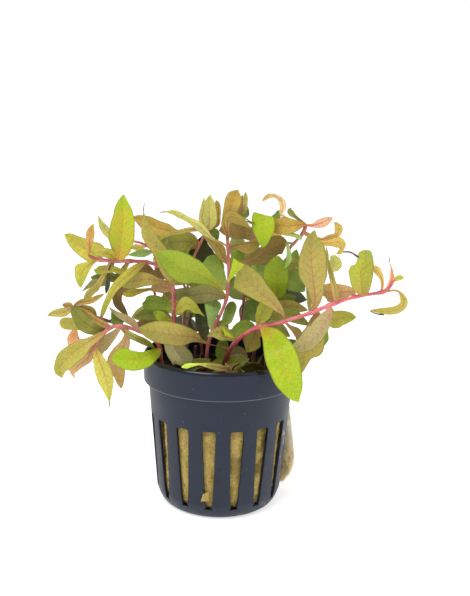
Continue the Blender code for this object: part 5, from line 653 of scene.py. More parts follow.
def blade_mesh(course, row, seed):
    """A leaf's thin closed blade: its points, faces and the numbers that its material reads."""
    _, width, turn, fold, _, stalk, *widest = row
    chance = np.random.default_rng(seed)
    shares = np.linspace(0, 1, LEAF_ROWS)
    shares = shares + 0.02 * np.sin(2 * pi * shares)
    shares = np.clip(shares, 0, 0.996)
    found, along = smooth(course, shares)
    centres = found[:, :3]
    length = np.linalg.norm(np.diff(centres, axis=0), axis=1).sum()
    middle = LEAF_ROWS // 2
    eye = np.array([0, -EYE_DISTANCE, EYE_HEIGHT])
    facing = unit(eye - centres[middle])
    facing = unit(facing - along[middle] * (facing @ along[middle]))
    turned = facing * cos(radians(turn)) + np.cross(along[middle], facing) * sin(radians(turn))
    normals = carry_normals(along, turned, middle)
    sideways = np.cross(along, normals)
    twist = radians(chance.uniform(-9, 9)) * ease(shares, 0.55, 1)
    turned_out = sideways * np.cos(twist)[:, None] + normals * np.sin(twist)[:, None]
    turned_up = normals * np.cos(twist)[:, None] - sideways * np.sin(twist)[:, None]
    u = ACROSS[None, :]
    half = leaf_width(shares, width, stalk, *widest)[:, None] / 2
    if found.shape[1] > 3:
        half = np.where(u < 0, found[:, 3:4], found[:, 4:5]).clip(0.05)
    s = shares[:, None]
    in_blade = ease(s, stalk, stalk + 0.12)
    x = u * half
    rise = half * sin(radians(fold)) * np.abs(u) ** 1.3
    half = np.maximum(half, 0.05)
    ripple = chance.uniform(0.5, 1.3) * width * 0.02
    side = np.where(u < 0, chance.uniform(0, 2 * pi), chance.uniform(0, 2 * pi))
    waves = chance.uniform(2.2, 3.6)
    rise = rise + ripple * np.abs(u) ** 2.5 * np.sin(2 * pi * waves * s + side) * np.sin(pi * s)
    rise = rise + chance.uniform(-0.05, 0.05) * width * u * np.sin(pi * s)
    lift = chance.uniform(-0.04, 0.05) * width * (1 - u**2) * np.sin(pi * s)
    outline = 1 + 0.012 * np.sin(2 * pi * (waves + 1.7) * s + side) * np.abs(u) ** 3
    flat = np.cos(radians(fold)) * x * outline
    lamina = LEAF_THICKNESS * (1 - 0.6 * u**2) / 2 * ease(1 - s, 0, 0.06).clip(0.25, 1)
    rib = (0.34 * (1 - s) + 0.05) * np.exp(-(x / 0.42) ** 2)
    groove = 0.09 * np.exp(-(x / 0.3) ** 2) * (1 - 0.5 * s)
    round_stalk = STALK_WIDTH / 2 * np.sqrt(np.clip(1 - u**2, 0, 1)) + 0.02
    top = round_stalk * (1 - in_blade) + (lamina - groove) * in_blade
    under = round_stalk * (1 - in_blade) + (lamina + rib) * in_blade
    outward, upward = turned_out[:, None], turned_up[:, None]
    sheet = centres[:, None] + outward * flat[..., None] + upward * (rise + lift)[..., None]
    upper = sheet + upward * top[..., None]
    lower = sheet - upward * under[..., None]
    columns = len(ACROSS)
    count = LEAF_ROWS * columns
    both = lambda values: np.concatenate([np.broadcast_to(values, (LEAF_ROWS, columns)).ravel()] * 2)
    attributes = {
        "across": both(u),
        "across_mm": both(x),
        "along": both(s),
        "along_mm": both(s * length),
        "under": np.repeat([0.0, 1.0], count),
        "seed": np.full(2 * count, chance.uniform(0, 40)),
        "tone": np.full(2 * count, chance.uniform(-1, 1)),
        "light": np.ones(2 * count),
    }
    vertices = np.vstack([upper.reshape(-1, 3), lower.reshape(-1, 3)])
    return vertices, two_skins(LEAF_ROWS, columns), attributes


# Materials

def srgb(*levels):
    """A colour from its 0-255 levels as linear light."""
    shares = [level / 255 for level in levels]
    return (*[share / 12.92 if share < 0.04045 else ((share + 0.055) / 1.055) ** 2.4 for share in shares], 1)


class Tree:
    """A material's nodes. Each call makes one node and gives back its output."""

    def __init__(self, name):
        self.material = bpy.data.materials.new(name)
        self.material.use_nodes = True
        self.nodes = self.material.node_tree.nodes
        self.links = self.material.node_tree.links
        self.shader = self.nodes["Principled BSDF"]

    def set(self, socket, value):
        if isinstance(value, bpy.types.NodeSocket):
            self.links.new(value, socket)
        else:
            socket.default_value = value

    def node(self, kind, inputs, output=0, **settings):
        made = self.nodes.new("ShaderNode" + kind)
        for key, value in settings.items():
            setattr(made, key, value)
        for key, value in inputs.items():
            self.set(made.inputs[key], value)
        return made.outputs[output]

    def math(self, operation, *values):
        return self.node("Math", dict(enumerate(values)), operation=operation)

    def attribute(self, name):
        return self.node("Attribute", {}, "Fac", attribute_name=name)

    def ramp(self, value, low, high, start=0.0, end=1.0):
        inputs = {"Value": value, "From Min": low, "From Max": high, "To Min": start, "To Max": end}
        return self.node("MapRange", inputs, "Result", interpolation_type="SMOOTHSTEP")

    def mix(self, share, one, other, blend="MIX"):
        made = self.nodes.new("ShaderNodeMix")
        made.data_type = "RGBA"
        made.blend_type = blend
        self.set(made.inputs[0], share)
        self.set(made.inputs[6], one)
        self.set(made.inputs[7], other)
        return made.outputs[2]

    def noise(self, place, scale, detail=3.0, rough=0.55):
        inputs = {"Vector": place, "Scale": scale, "Detail": detail, "Roughness": rough}
        return self.node("TexNoise", inputs, "Fac")

    def point(self, x, y, z):
        return self.node("CombineXYZ", {0: x, 1: y, 2: z})

    def here(self):
        """The point's place in millimetres, in the part's own frame."""
        spot = self.node("TexCoord", {}, "Object")
        return self.node("VectorMath", {0: spot, "Scale": 1 / MM}, operation="SCALE")

    def axis(self, spot, name):
        return self.node("SeparateXYZ", {"Vector": spot}, name)

    def bump(self, height, strength, distance):
        inputs = {"Height": height, "Strength": strength, "Distance": distance}
        return self.node("Bump", inputs, "Normal")

    def finish(self, **inputs):
        for key, value in inputs.items():
            self.set(self.shader.inputs[key.replace("_", " ")], value)
        return self.material


# Each leaf look: the blade, its second colour in patches, its tip, its midrib, its underside, and how plainly
# its side veins show
LOOKS = {
    "lime": ((164, 190, 24), (180, 194, 34), (160, 190, 30), (206, 150, 58), (168, 178, 76), 0.35),
    "bright": ((148, 170, 32), (162, 176, 44), (134, 162, 32), (172, 144, 60), (152, 162, 74), 0.4),
    "green": ((126, 150, 44), (144, 160, 54), (110, 138, 40), (144, 138, 64), (138, 148, 80), 0.5),
    "deep": ((112, 140, 52), (130, 152, 58), (100, 128, 44), (138, 130, 68), (128, 140, 80), 0.5),
    # Painted shade: a near black green for leaves deep in the foliage's shadow
    "dark": ((60, 66, 28), (74, 78, 34), (50, 58, 26), (92, 76, 44), (84, 84, 50), 0.5),
    "mint": ((152, 184, 96), (168, 194, 110), (150, 186, 90), (176, 176, 110), (170, 186, 120), 0.3),
    "moss": ((138, 146, 62), (156, 154, 72), (124, 132, 54), (150, 112, 66), (146, 144, 86), 0.6),
    "olive": ((142, 146, 54), (162, 158, 66), (126, 134, 48), (150, 108, 66), (150, 144, 88), 0.6),
    "strawgreen": ((178, 180, 56), (194, 186, 70), (162, 172, 50), (186, 134, 72), (174, 170, 90), 0.4),
    "khaki": ((170, 157, 72), (182, 162, 82), (154, 150, 60), (178, 110, 84), (166, 152, 98), 0.75),
    "pale": ((196, 192, 100), (206, 200, 112), (184, 188, 84), (188, 150, 92), (190, 184, 116), 0.4),
    "yellow": ((206, 198, 78), (214, 202, 94), (190, 192, 64), (196, 140, 80), (190, 182, 104), 0.4),
    "straw": ((184, 174, 76), (196, 180, 92), (172, 166, 66), (190, 128, 92), (176, 166, 100), 0.5),
    "gold": ((196, 166, 68), (208, 174, 84), (186, 154, 58), (186, 114, 72), (172, 142, 84), 0.6),
    "goldbrown": ((166, 144, 62), (178, 150, 72), (158, 138, 54), (142, 92, 56), (150, 128, 74), 0.75),
    "amber": ((212, 166, 72), (222, 172, 92), (196, 160, 62), (200, 108, 76), (200, 156, 92), 0.5),
    "tan": ((196, 166, 98), (204, 164, 110), (188, 158, 80), (184, 120, 96), (180, 156, 110), 0.6),
    "greytan": ((176, 163, 106), (184, 168, 112), (166, 156, 94), (206, 146, 118), (172, 158, 112), 0.6),
    "greygreen": ((148, 146, 84), (160, 152, 92), (140, 140, 76), (128, 112, 70), (152, 146, 96), 0.7),
    "peach": ((230, 204, 138), (238, 208, 148), (206, 176, 100), (212, 126, 94), (224, 190, 130), 0.5),
    "blush": ((238, 184, 148), (242, 194, 158), (232, 176, 130), (214, 100, 92), (230, 176, 142), 0.5),
    "coral": ((238, 170, 122), (242, 180, 126), (228, 174, 112), (212, 82, 84), (228, 158, 118), 0.4),
    "orange": ((226, 162, 104), (232, 178, 110), (214, 156, 84), (206, 96, 80), (214, 148, 108), 0.5),
    "brown": ((150, 128, 64), (162, 136, 72), (140, 120, 54), (190, 130, 100), (140, 122, 74), 0.8),
    "umber": ((142, 116, 66), (154, 124, 72), (128, 108, 58), (156, 102, 76), (132, 114, 70), 0.7),
    "mauve": ((190, 158, 104), (198, 160, 110), (208, 168, 94), (192, 106, 102), (172, 142, 104), 0.5),
    "rimleaf": ((202, 184, 100), (208, 184, 110), (168, 214, 44), (150, 116, 70), (180, 164, 104), 0.5),
    "limegold": ((172, 186, 32), (190, 182, 40), (152, 192, 32), (208, 148, 62), (174, 178, 78), 0.4),
    "honey": ((228, 196, 100), (232, 200, 112), (214, 186, 90), (206, 120, 84), (214, 182, 104), 0.4),
    "litter": ((124, 112, 60), (140, 126, 70), (104, 98, 52), (96, 76, 48), (118, 108, 66), 0.9),
}

# Leaves whose look isn't simply their tint's, by their number on the shoot
LOOK_OF = {
    "runner_leaf": {3: "khaki", 4: "greytan", 5: "khaki", 6: "strawgreen", 7: "tan", 8: "straw",
        9: "strawgreen", 10: "straw", 12: "rimleaf"},
    "centre_leaf": {1: "bright", 2: "green", 3: "greygreen", 4: "mint", 6: "goldbrown", 8: "gold",
        9: "pale", 10: "goldbrown"},
    "thin_leaf": {1: "pale", 2: "straw", 3: "gold", 5: "khaki"},
    "left_leaf": {1: "khaki", 2: "green", 3: "strawgreen", 4: "greygreen", 5: "limegold", 6: "yellow",
        7: "strawgreen", 8: "strawgreen"},
    "low_left_leaf": {1: "lime", 2: "straw", 3: "mauve", 4: "yellow", 5: "tan", 6: "olive"},
    "right_leaf": {1: "bright", 2: "gold", 3: "peach"},
    "back_centre_leaf": {1: "lime", 2: "brown"},
    "runner_small_leaf": {1: "moss", 2: "litter", 3: "strawgreen", 5: "moss", 7: "pale", 8: "honey",
        9: "coral", 10: "strawgreen", 12: "khaki"},
    "centre_small_leaf": {1: "green", 2: "moss", 3: "goldbrown", 4: "deep", 5: "green", 7: "umber",
        8: "straw", 9: "deep"},
    "thin_small_leaf": {3: "pale", 4: "goldbrown", 5: "deep", 6: "olive", 7: "deep", 8: "moss"},
    "left_small_leaf": {1: "umber", 3: "umber", 4: "moss", 5: "bright", 6: "amber", 7: "strawgreen",
        8: "pale", 9: "strawgreen", 10: "moss", 11: "greygreen", 12: "straw", 13: "dark"},
    "low_left_small_leaf": {1: "olive", 2: "greytan", 3: "coral", 4: "greytan", 5: "goldbrown"},
    "side_left_small_leaf": {1: "straw", 2: "goldbrown", 3: "goldbrown", 4: "khaki", 5: "straw", 6: "deep"},
    "back_left_small_leaf": {1: "moss", 3: "deep", 4: "mint", 6: "umber", 7: "umber", 9: "olive",
        10: "moss"},
    "right_small_leaf": {1: "mint", 2: "green", 3: "deep", 5: "deep", 6: "olive", 7: "mint", 8: "dark",
        9: "deep", 12: "olive", 13: "moss", 14: "deep", 15: "moss", 16: "mint", 17: "honey", 18: "honey",
        19: "blush"},
    "back_centre_small_leaf": {1: "deep", 3: "bright", 4: "deep", 5: "moss", 6: "moss", 7: "deep"},
}

# Painted light and shade: how much lighter or darker some leaves' colour is made than their look, standing in
# for the light they catch or lose among the other leaves
PAINTED_LIGHT = {
    "runner_leaf": {5: 1.17, 6: 0.91, 7: 1.18, 8: 0.93, 9: 0.95, 10: 1.1, 12: 1.45},
    "centre_leaf": {2: 1.12, 7: 1.12, 8: 0.9},
    "thin_leaf": {1: 1.08, 5: 1.16},
    "left_leaf": {2: 1.22, 7: 1.08, 8: 0.9},
    "low_left_leaf": {3: 1.08, 6: 0.9},
    "right_leaf": {2: 0.97},
    "back_centre_leaf": {2: 1.15},
    "runner_small_leaf": {3: 0.85, 4: 1.15, 5: 1.18, 6: 1.3, 10: 1.12, 11: 1.14},
    "centre_small_leaf": {3: 0.9, 6: 1.24, 7: 1.14, 9: 1.22},
    "thin_small_leaf": {3: 1.17, 4: 1.24, 5: 1.25},
    "left_small_leaf": {1: 0.83, 2: 0.9, 5: 1.14, 6: 0.92, 10: 0.8, 13: 1.3},
    "low_left_small_leaf": {3: 1.08, 4: 0.83, 5: 0.95},
    "side_left_small_leaf": {2: 0.95, 4: 1.1},
    "right_small_leaf": {1: 1.1, 3: 0.82, 4: 0.76, 7: 0.95, 10: 0.8, 12: 0.87, 16: 1.28},
}

# Folded-back ends, which show a leaf's other face: the two ends of the fold and the free corner
FLAP_THICKNESS = 0.24
FLAPS = {
    "runner_leaf_2": [(6.9, 80.9, -19.2), (1.4, 74.7, -19.2), (3.3, 83.0, -20.4)],
    "runner_small_leaf_11": [(-0.6, 60.4, -12.1), (4.6, 55.5, -12.1), (1.1, 56.7, -12.9)],
}


def leaf_material(name):
    blade, second, tip, rib_colour, under_colour = (srgb(*levels) for levels in LOOKS[name][:5])
    plain = LOOKS[name][5]
    tree = Tree("leaf_" + name)
    across = tree.math("ABSOLUTE", tree.attribute("across"))
    across_mm = tree.attribute("across_mm")
    along = tree.attribute("along")
    along_mm = tree.attribute("along_mm")
    spot = tree.point(across_mm, along_mm, tree.attribute("seed"))
    patches = tree.noise(spot, 0.22, 2.0)
    grain = tree.noise(spot, 1.6, 4.0, 0.65)
    tone = tree.math("MULTIPLY_ADD", tree.attribute("tone"), 0.16, tree.math("SUBTRACT", patches, 0.5))
    colour = tree.mix(tree.ramp(tone, -0.22, 0.22), blade, second)
    colour = tree.mix(tree.ramp(along, 0.62, 1.0, 0, 0.8), colour, tip)
    colour = tree.mix(tree.ramp(along, 0.02, 0.34, 0.55, 0), colour, rib_colour)
    slant = tree.math("MULTIPLY_ADD", tree.math("ABSOLUTE", across_mm), -0.95, along_mm)
    bent = tree.math("MULTIPLY_ADD", tree.noise(spot, 0.35, 2.0), 1.6, slant)
    order = tree.math("FRACT", tree.math("MULTIPLY", bent, 0.42))
    line = tree.math("ABSOLUTE", tree.math("SUBTRACT", order, 0.5))
    veins = tree.ramp(line, 0.0, 0.12, 1.0, 0.0)
    veins = tree.math("MULTIPLY", veins, tree.ramp(across, 0.1, 0.95, 0.5, 0.06))
    vein_colour = srgb(112, 78, 36)
    colour = tree.mix(tree.math("MULTIPLY", veins, 1.1 * plain), colour, vein_colour)
    wide = tree.ramp(along, 0.0, 1.0, 0.3, 0.13)
    rib = tree.ramp(tree.math("DIVIDE", tree.math("ABSOLUTE", across_mm), wide), 0.3, 1.0, 1.0, 0.0)
    rib = tree.math("MULTIPLY", rib, tree.ramp(along, 0.3, 1.0, 0.85, 0.35))
    colour = tree.mix(rib, colour, rib_colour)
    under = tree.attribute("under")
    back = tree.mix(tree.math("MAXIMUM", rib, tree.math("MULTIPLY", veins, 0.9)), under_colour, rib_colour)
    colour = tree.mix(tree.math("MULTIPLY", under, 0.75), colour, back)
    edge = tree.ramp(across, 0.87, 0.99, 0, 0.75)
    colour = tree.mix(edge, colour, tree.mix(0.7, tip, srgb(80, 74, 30)))
    cells = tree.node("TexVoronoi", {"Vector": spot, "Scale": 0.34}, "Distance")
    freckle = tree.math("MULTIPLY", tree.ramp(cells, 0.05, 0.1, 0.75, 0), tree.ramp(grain, 0.5, 0.6))
    colour = tree.mix(freckle, colour, srgb(84, 62, 30))
    # Painted shade: one half of the blade is made darker and the other lighter, as a folded blade's halves
    # would be lit
    halves = tree.ramp(tree.attribute("across"), -0.1, 0.1, -0.09, 0.09)
    halves = tree.math("MULTIPLY", halves, tree.attribute("tone"))
    # Random tone from the grain, times the leaf's painted light and shade factor
    shade = tree.math("MULTIPLY", tree.ramp(grain, 0.25, 0.75, 0.8, 1.12), tree.attribute("light"))
    shade = tree.math("MULTIPLY_ADD", shade, halves, shade)
    colour = tree.mix(1.0, colour, tree.point(shade, shade, shade), "MULTIPLY")
    relief = tree.math("ADD", tree.math("MULTIPLY", veins, -0.5), tree.math("MULTIPLY", grain, 0.25))
    return tree.finish(
        Base_Color=colour,
        Roughness=tree.ramp(grain, 0.2, 0.8, 0.42, 0.58),
        Specular_IOR_Level=0.32,
        Subsurface_Weight=0.18,
        Subsurface_Radius=(1.0, 1.2, 0.25),
        Subsurface_Scale=0.0006,
        Normal=tree.bump(relief, 0.5, 0.0002),
    )


def stem_material(name):
    base, mid, light = (srgb(*levels) for levels in STEM_COLOURS[name])
    tree = Tree(name)
    along = tree.attribute("along")
    along_mm = tree.attribute("along_mm")
    spot = tree.point(tree.attribute("across_mm"), tree.math("MULTIPLY", along_mm, 0.18), 0.0)
    streaks = tree.noise(spot, 2.2, 4.0, 0.6)
    blotches = tree.noise(tree.point(along_mm, 0.0, 3.0), 0.3, 2.0)
    share = tree.math("MULTIPLY_ADD", tree.math("SUBTRACT", streaks, 0.5), 1.2, blotches)
    # Pale streaks in the highlights' colour: partly real streaking, partly painted highlight
    colour = tree.mix(tree.ramp(share, 0.25, 0.8), mid, light)
    colour = tree.mix(tree.ramp(along, 0.08, 0.3, 1.0, 0.0), colour, base)
    return tree.finish(
        Base_Color=colour,
        Roughness=tree.ramp(streaks, 0.2, 0.8, 0.26, 0.42),
        Specular_IOR_Level=0.5,
        Subsurface_Weight=0.15,
        Subsurface_Radius=(1.2, 0.4, 0.3),
        Subsurface_Scale=0.0006,
        Coat_Weight=0.25,
        Coat_Roughness=0.15,
        Normal=tree.bump(streaks, 0.35, 0.0001),
    )


def plastic_material():
    tree = Tree("pot_plastic")
    spot = tree.here()
    clouds = tree.noise(spot, 0.09, 3.0)
    grain = tree.noise(spot, 3.0, 3.0, 0.6)
    colour = tree.mix(tree.ramp(clouds, 0.3, 0.7), srgb(15, 22, 38), srgb(22, 30, 47))
    cells = tree.node("TexVoronoi", {"Vector": spot, "Scale": 0.32}, "Distance")
    dust = tree.ramp(cells, 0.03, 0.06, 0.55, 0.0)
    colour = tree.mix(dust, colour, srgb(150, 152, 150))
    height = tree.axis(spot, "Z")
    # Painted highlight: a thin pale line along the collar's foot
    painted_ledge_highlight = tree.math("MULTIPLY", tree.ramp(height, COLLAR_FOOT_Z - 0.15, COLLAR_FOOT_Z),
                      tree.ramp(height, COLLAR_FOOT_Z + 0.2, COLLAR_FOOT_Z + 0.4, 0.4, 0))
    colour = tree.mix(painted_ledge_highlight, colour, srgb(150, 156, 166))
    drops = tree.ramp(tree.noise(spot, 0.3, 2.0), 0.62, 0.64)
    wet = tree.math("MULTIPLY", drops, tree.ramp(height, 27.0, 30.0, 1, 0))
    colour = tree.mix(wet, colour, srgb(10, 14, 24))
    flat = tree.node("VectorMath", {0: spot, 1: (1, 1, 0)}, "Vector", operation="MULTIPLY")
    radius = tree.node("VectorMath", {0: flat}, "Value", operation="LENGTH")
    inside = tree.math("MULTIPLY", tree.ramp(height, 42.6, 43.2), tree.ramp(radius, 24.3, 24.6, 0.9, 0))
    stain = tree.mix(tree.ramp(clouds, 0.35, 0.65), srgb(34, 30, 16), srgb(56, 42, 26))
    colour = tree.mix(inside, colour, stain)
    # Painted dark reflection: the rim's top band is made a neutral near black; it is also glossier
    rim = tree.ramp(height, POT_HEIGHT - 1.4, POT_HEIGHT - 1.0)
    colour = tree.mix(rim, colour, srgb(20, 21, 25))
    rough = tree.math("MULTIPLY_ADD", grain, 0.1, tree.ramp(clouds, 0.3, 0.7, 0.36, 0.46))
    rough = tree.math("MULTIPLY_ADD", rim, -0.3, rough)
    rough = tree.math("MULTIPLY_ADD", wet, -0.25, rough)
    return tree.finish(
        Base_Color=colour,
        Roughness=rough,
        Specular_IOR_Level=tree.math("MULTIPLY_ADD", inside, -0.3, 0.44),
        Specular_Tint=(0.8, 0.88, 1.0, 1),
        Normal=tree.bump(grain, 0.12, 0.0001),
    )


def algae_share(tree, spot, low, high):
    """Green patches, with the strength low at the pot's left and the strength high at its right."""
    patches = tree.ramp(tree.noise(spot, 0.16, 3.0), 0.46, 0.66)
    return tree.math("MULTIPLY", patches, tree.ramp(tree.axis(spot, "X"), -4.0, 18.0, low, high))


def wool_material():
    tree = Tree("rock_wool")
    spot = tree.here()
    grain = tree.noise(spot, 3.6, 5.0, 0.75)
    colour = tree.mix(tree.ramp(grain, 0.34, 0.62), srgb(142, 116, 52), srgb(228, 202, 122))
    colour = tree.mix(algae_share(tree, spot, 0.25, 0.85), colour, srgb(78, 72, 28))
    # Darker towards the plug's top: partly the wet wool's colour, partly painted shade under the leaves
    wet_and_shaded_top = tree.ramp(tree.axis(spot, "Z"), WOOL_TOP_Z - 7, WOOL_TOP_Z - 2)
    colour = tree.mix(wet_and_shaded_top, colour, srgb(58, 46, 22))
    return tree.finish(
        Base_Color=colour,
        Roughness=0.9,
        Specular_IOR_Level=0.2,
        Normal=tree.bump(grain, 0.9, 0.0006),
    )


def fibre_material():
    """Ochre hairs. Those of the tuft are paler and have no algae."""
    tree = Tree("wool_fibres")
    colour = tree.mix(tree.ramp(tree.attribute("tone"), 0.0, 1.0), srgb(120, 92, 36), srgb(222, 192, 108))
    spot = tree.here()
    pale = tree.attribute("pale")
    algae = tree.math("MULTIPLY", algae_share(tree, spot, 0.2, 0.75), tree.ramp(pale, 0.0, 0.3, 1, 0))
    colour = tree.mix(algae, colour, srgb(84, 80, 30))
    # Darker towards the plug's top: partly the wet wool's colour, partly painted shade under the leaves
    wet_and_shaded_top = tree.ramp(tree.axis(spot, "Z"), WOOL_TOP_Z - 6, WOOL_TOP_Z - 2, 0, 0.85)
    colour = tree.mix(wet_and_shaded_top, colour, srgb(62, 50, 24))
    colour = tree.mix(pale, colour, srgb(255, 250, 232))
    return tree.finish(Base_Color=colour, Roughness=0.7, Specular_IOR_Level=0.3)


def tuft_material():
    """Cream white at the top, ochre lower down."""
    tree = Tree("wool_tuft")
    spot = tree.here()
    height = tree.axis(spot, "Z")
    grain = tree.noise(spot, 2.0, 5.0, 0.7)
    low = tree.mix(tree.ramp(grain, 0.3, 0.7), srgb(226, 194, 112), srgb(250, 230, 164))
    high = tree.mix(tree.ramp(grain, 0.3, 0.7), srgb(252, 246, 224), srgb(255, 254, 248))
    colour = tree.mix(tree.ramp(height, 10.0, 24.0), low, high)
    return tree.finish(Base_Color=colour, Roughness=0.9, Specular_IOR_Level=0.2,
                       Normal=tree.bump(grain, 0.9, 0.0006))


# Each stem look: its foot, its main colour and its light streaks; the streaks take the colour of the stem's
# highlights, partly real streaking and partly painted highlight
STEM_COLOURS = {
    "stem_pink": ((106, 34, 42), (204, 82, 98), (232, 132, 134)),
    "stem_plum": ((108, 40, 50), (168, 76, 80), (212, 126, 116)),
    "stem_salmon": ((96, 50, 40), (184, 104, 84), (212, 138, 108)),
    "stem_red": ((76, 30, 32), (142, 54, 62), (184, 86, 88)),
    "old_stub": ((40, 28, 20), (70, 46, 32), (104, 70, 42)),
    "withered_tip": ((96, 92, 96), (126, 122, 128), (156, 150, 156)),
}

# Stems whose look isn't their tint's
STEM_LOOKS = {"centre_stem": "stem_plum", "left_stem": "stem_plum", "low_left_stem": "stem_plum",
              "thin_stem": "stem_salmon", "right_stem": "stem_salmon", "back_left_stem": "stem_pink"}

MATERIALS = {name: leaf_material(name) for name in LOOKS}
MATERIALS |= {name: stem_material(name) for name in STEM_COLOURS}
MATERIALS |= {"pot_plastic": plastic_material(), "rock_wool": wool_material(), "fibres": fibre_material(),
              "tuft": tuft_material()}


# The pieces

def make_leaves():
    seed = 0
    for rows, kind in ((LEAVES, "leaf"), (SMALL_LEAVES, "small_leaf")):
        for shoot, leaves in rows.items():
            stem = shoot + "_stem"
            for number, row in enumerate(leaves, 1):
                seed += 1
                group = f"{shoot}_{kind}"
                name = f"{group}_{number}"
                vertices, faces, attributes = blade_mesh(leaf_course(stem, row), row, seed)
                # Painted light and shade: the factor that lightens or darkens this leaf's colour
                attributes["light"] = np.full(len(vertices), PAINTED_LIGHT.get(group, {}).get(number, 1.0))
                material = MATERIALS[LOOK_OF.get(group, {}).get(number, row[4])]
                piece_name = name + "_blade" if kind == "leaf" else name
                nodes = [name] if kind == "leaf" else [stem]
                mesh_piece(piece_name, vertices, faces, material, nodes, attributes)


def make_flaps():
    count = 7
    up, across = square_shares(count)
    numbers = {
        "across": 0.9 * (2 * across - 1),
        "across_mm": 3 * (2 * across - 1) * (1 - up) + 0.8,
        "along": 0.45 + 0.3 * up,
        "along_mm": 6 * up,
        "under": 0 * up,
        "seed": 0 * up,
        "tone": 0 * up,
        "light": 0 * up + 1,
    }
    attributes = {key: np.tile(values, 2) for key, values in numbers.items()}
    bulge = 1.8 * up * (1 - up) + across * (1 - across) * (1 - up)
    for name, corners in FLAPS.items():
        one, other, free = (place(*corner) for corner in corners)
        face = unit(np.cross(other - one, free - one))
        face = -face if face[1] > 0 else face
        sheet = (one + (other - one) * across[:, None]) * (1 - up)[:, None] + free * up[:, None]
        skins = [sheet + face * (bulge + side * FLAP_THICKNESS / 2)[:, None] for side in (1, -1)]
        faces = two_skins(count, count)
        mesh_piece(name + "_folded_end", np.vstack(skins), faces, MATERIALS["lime"], (), attributes)


def make_stems():
    for stem, (_, _, root_radius, tip_radius, tint) in STEMS.items():
        shoot = stem.removesuffix("_stem")
        course = stem_course(stem)
        length = np.linalg.norm(np.diff(course, axis=0), axis=1).sum()
        shares = np.linspace(0, 1, int(length / 0.9))
        centres, _ = smooth(course, shares)
        radii = tip_radius + (root_radius - tip_radius) * (1 - shares) ** 1.5
        for row in LEAVES.get(shoot, []) + SMALL_LEAVES.get(shoot, []):
            radii = radii + 0.16 * root_radius * hump(shares, node_share(stem, row), 1.1 / length)
        radii = np.minimum(radii, 1.45 * np.interp(shares, [0, 1], [root_radius, tip_radius]))
        radii[-1] *= 0.5
        sides = 14
        vertices, faces = tube_mesh(centres, radii, sides)
        attributes = tube_numbers(shares, shares, length, sides, 0.35)
        material = MATERIALS[STEM_LOOKS.get(stem, tint)]
        mesh_piece(stem + "_stalk", vertices, faces, material, [stem], attributes)


def body_radius(z):
    """The outside of the pot's straight body."""
    share = (z - CORNER_Z) / (COLLAR_FOOT_Z - CORNER_Z)
    return BODY_FOOT_RADIUS + (BODY_TOP_RADIUS - BODY_FOOT_RADIUS) * share


# The pot's outline as radius and height: its base, its rounded corner, the ledge with the collar outside, the
# collar inside, and the corner with the floor inside
BASE_OUTLINE = [(0.02, 0), (6, 0), (12, 0), (16.5, 0)]
CORNER_OUTLINE = [(BASE_RADIUS, 0), (18.3, 0.25), (19.1, 0.85), (19.75, 1.7), (20.3, 2.8)]
COLLAR_OUTSIDE = [
    (BODY_TOP_RADIUS + 0.1, 42.05), (BODY_TOP_RADIUS + 0.5, COLLAR_FOOT_Z), (25.35, COLLAR_FOOT_Z),
    (25.62, 42.22), (COLLAR_FOOT_RADIUS, 42.55), (25.83, 44.6), (25.92, 47.6), (RIM_RADIUS - 0.02, 49.4),
    (RIM_RADIUS, 50.2), (25.95, 50.65), (25.8, 51.0), (25.55, 51.3), (25.25, POT_HEIGHT)]
COLLAR_INSIDE = [
    (25.0, POT_HEIGHT), (24.75, 51.35), (24.55, 51.1), (24.5, 50.6), (24.6, 49.5), (24.75, 47),
    (24.8, 44.6), (24.75, 43.5), (24.5, 43.1), (23.5, 43.1), (23.25, 42.9), (23.2, 42.1)]
FLOOR_INSIDE = [(19.0, 2.4), (18.2, 1.55), (17.2, WALL), (12, WALL), (6, WALL), (0.02, WALL)]
PLAIN_BODY_Z = [32.8, 35, 38, 40.6]
BODY_END_Z = 41.7


def slot_wall_radius(z):
    """The outside where the slots are, which reach down into the rounded corner."""
    if z >= CORNER_Z:
        return body_radius(z)
    radius, below = CORNER_OUTLINE[-1]
    return float(np.interp(z, [below, CORNER_Z], [radius, BODY_FOOT_RADIUS]))


# The slot's half width from its flared foot to its rounded top
SLOT_SIDE = [
    (3.8, 1.45), (4.05, 1.25), (4.4, 0.98), (5.1, 0.92), (5.9, 1.12), (7.2, 1.3), (9.6, 1.42), (13.4, 1.6),
    (18, 1.78), (23, 1.96), (27.2, 2.1), (29.9, 2.2), (30.6, 2.2), (31.05, 2.02), (SLOT_TOP_Z, 1.7)]
SLOT_SPACING = 2 * pi / SLOT_COUNT


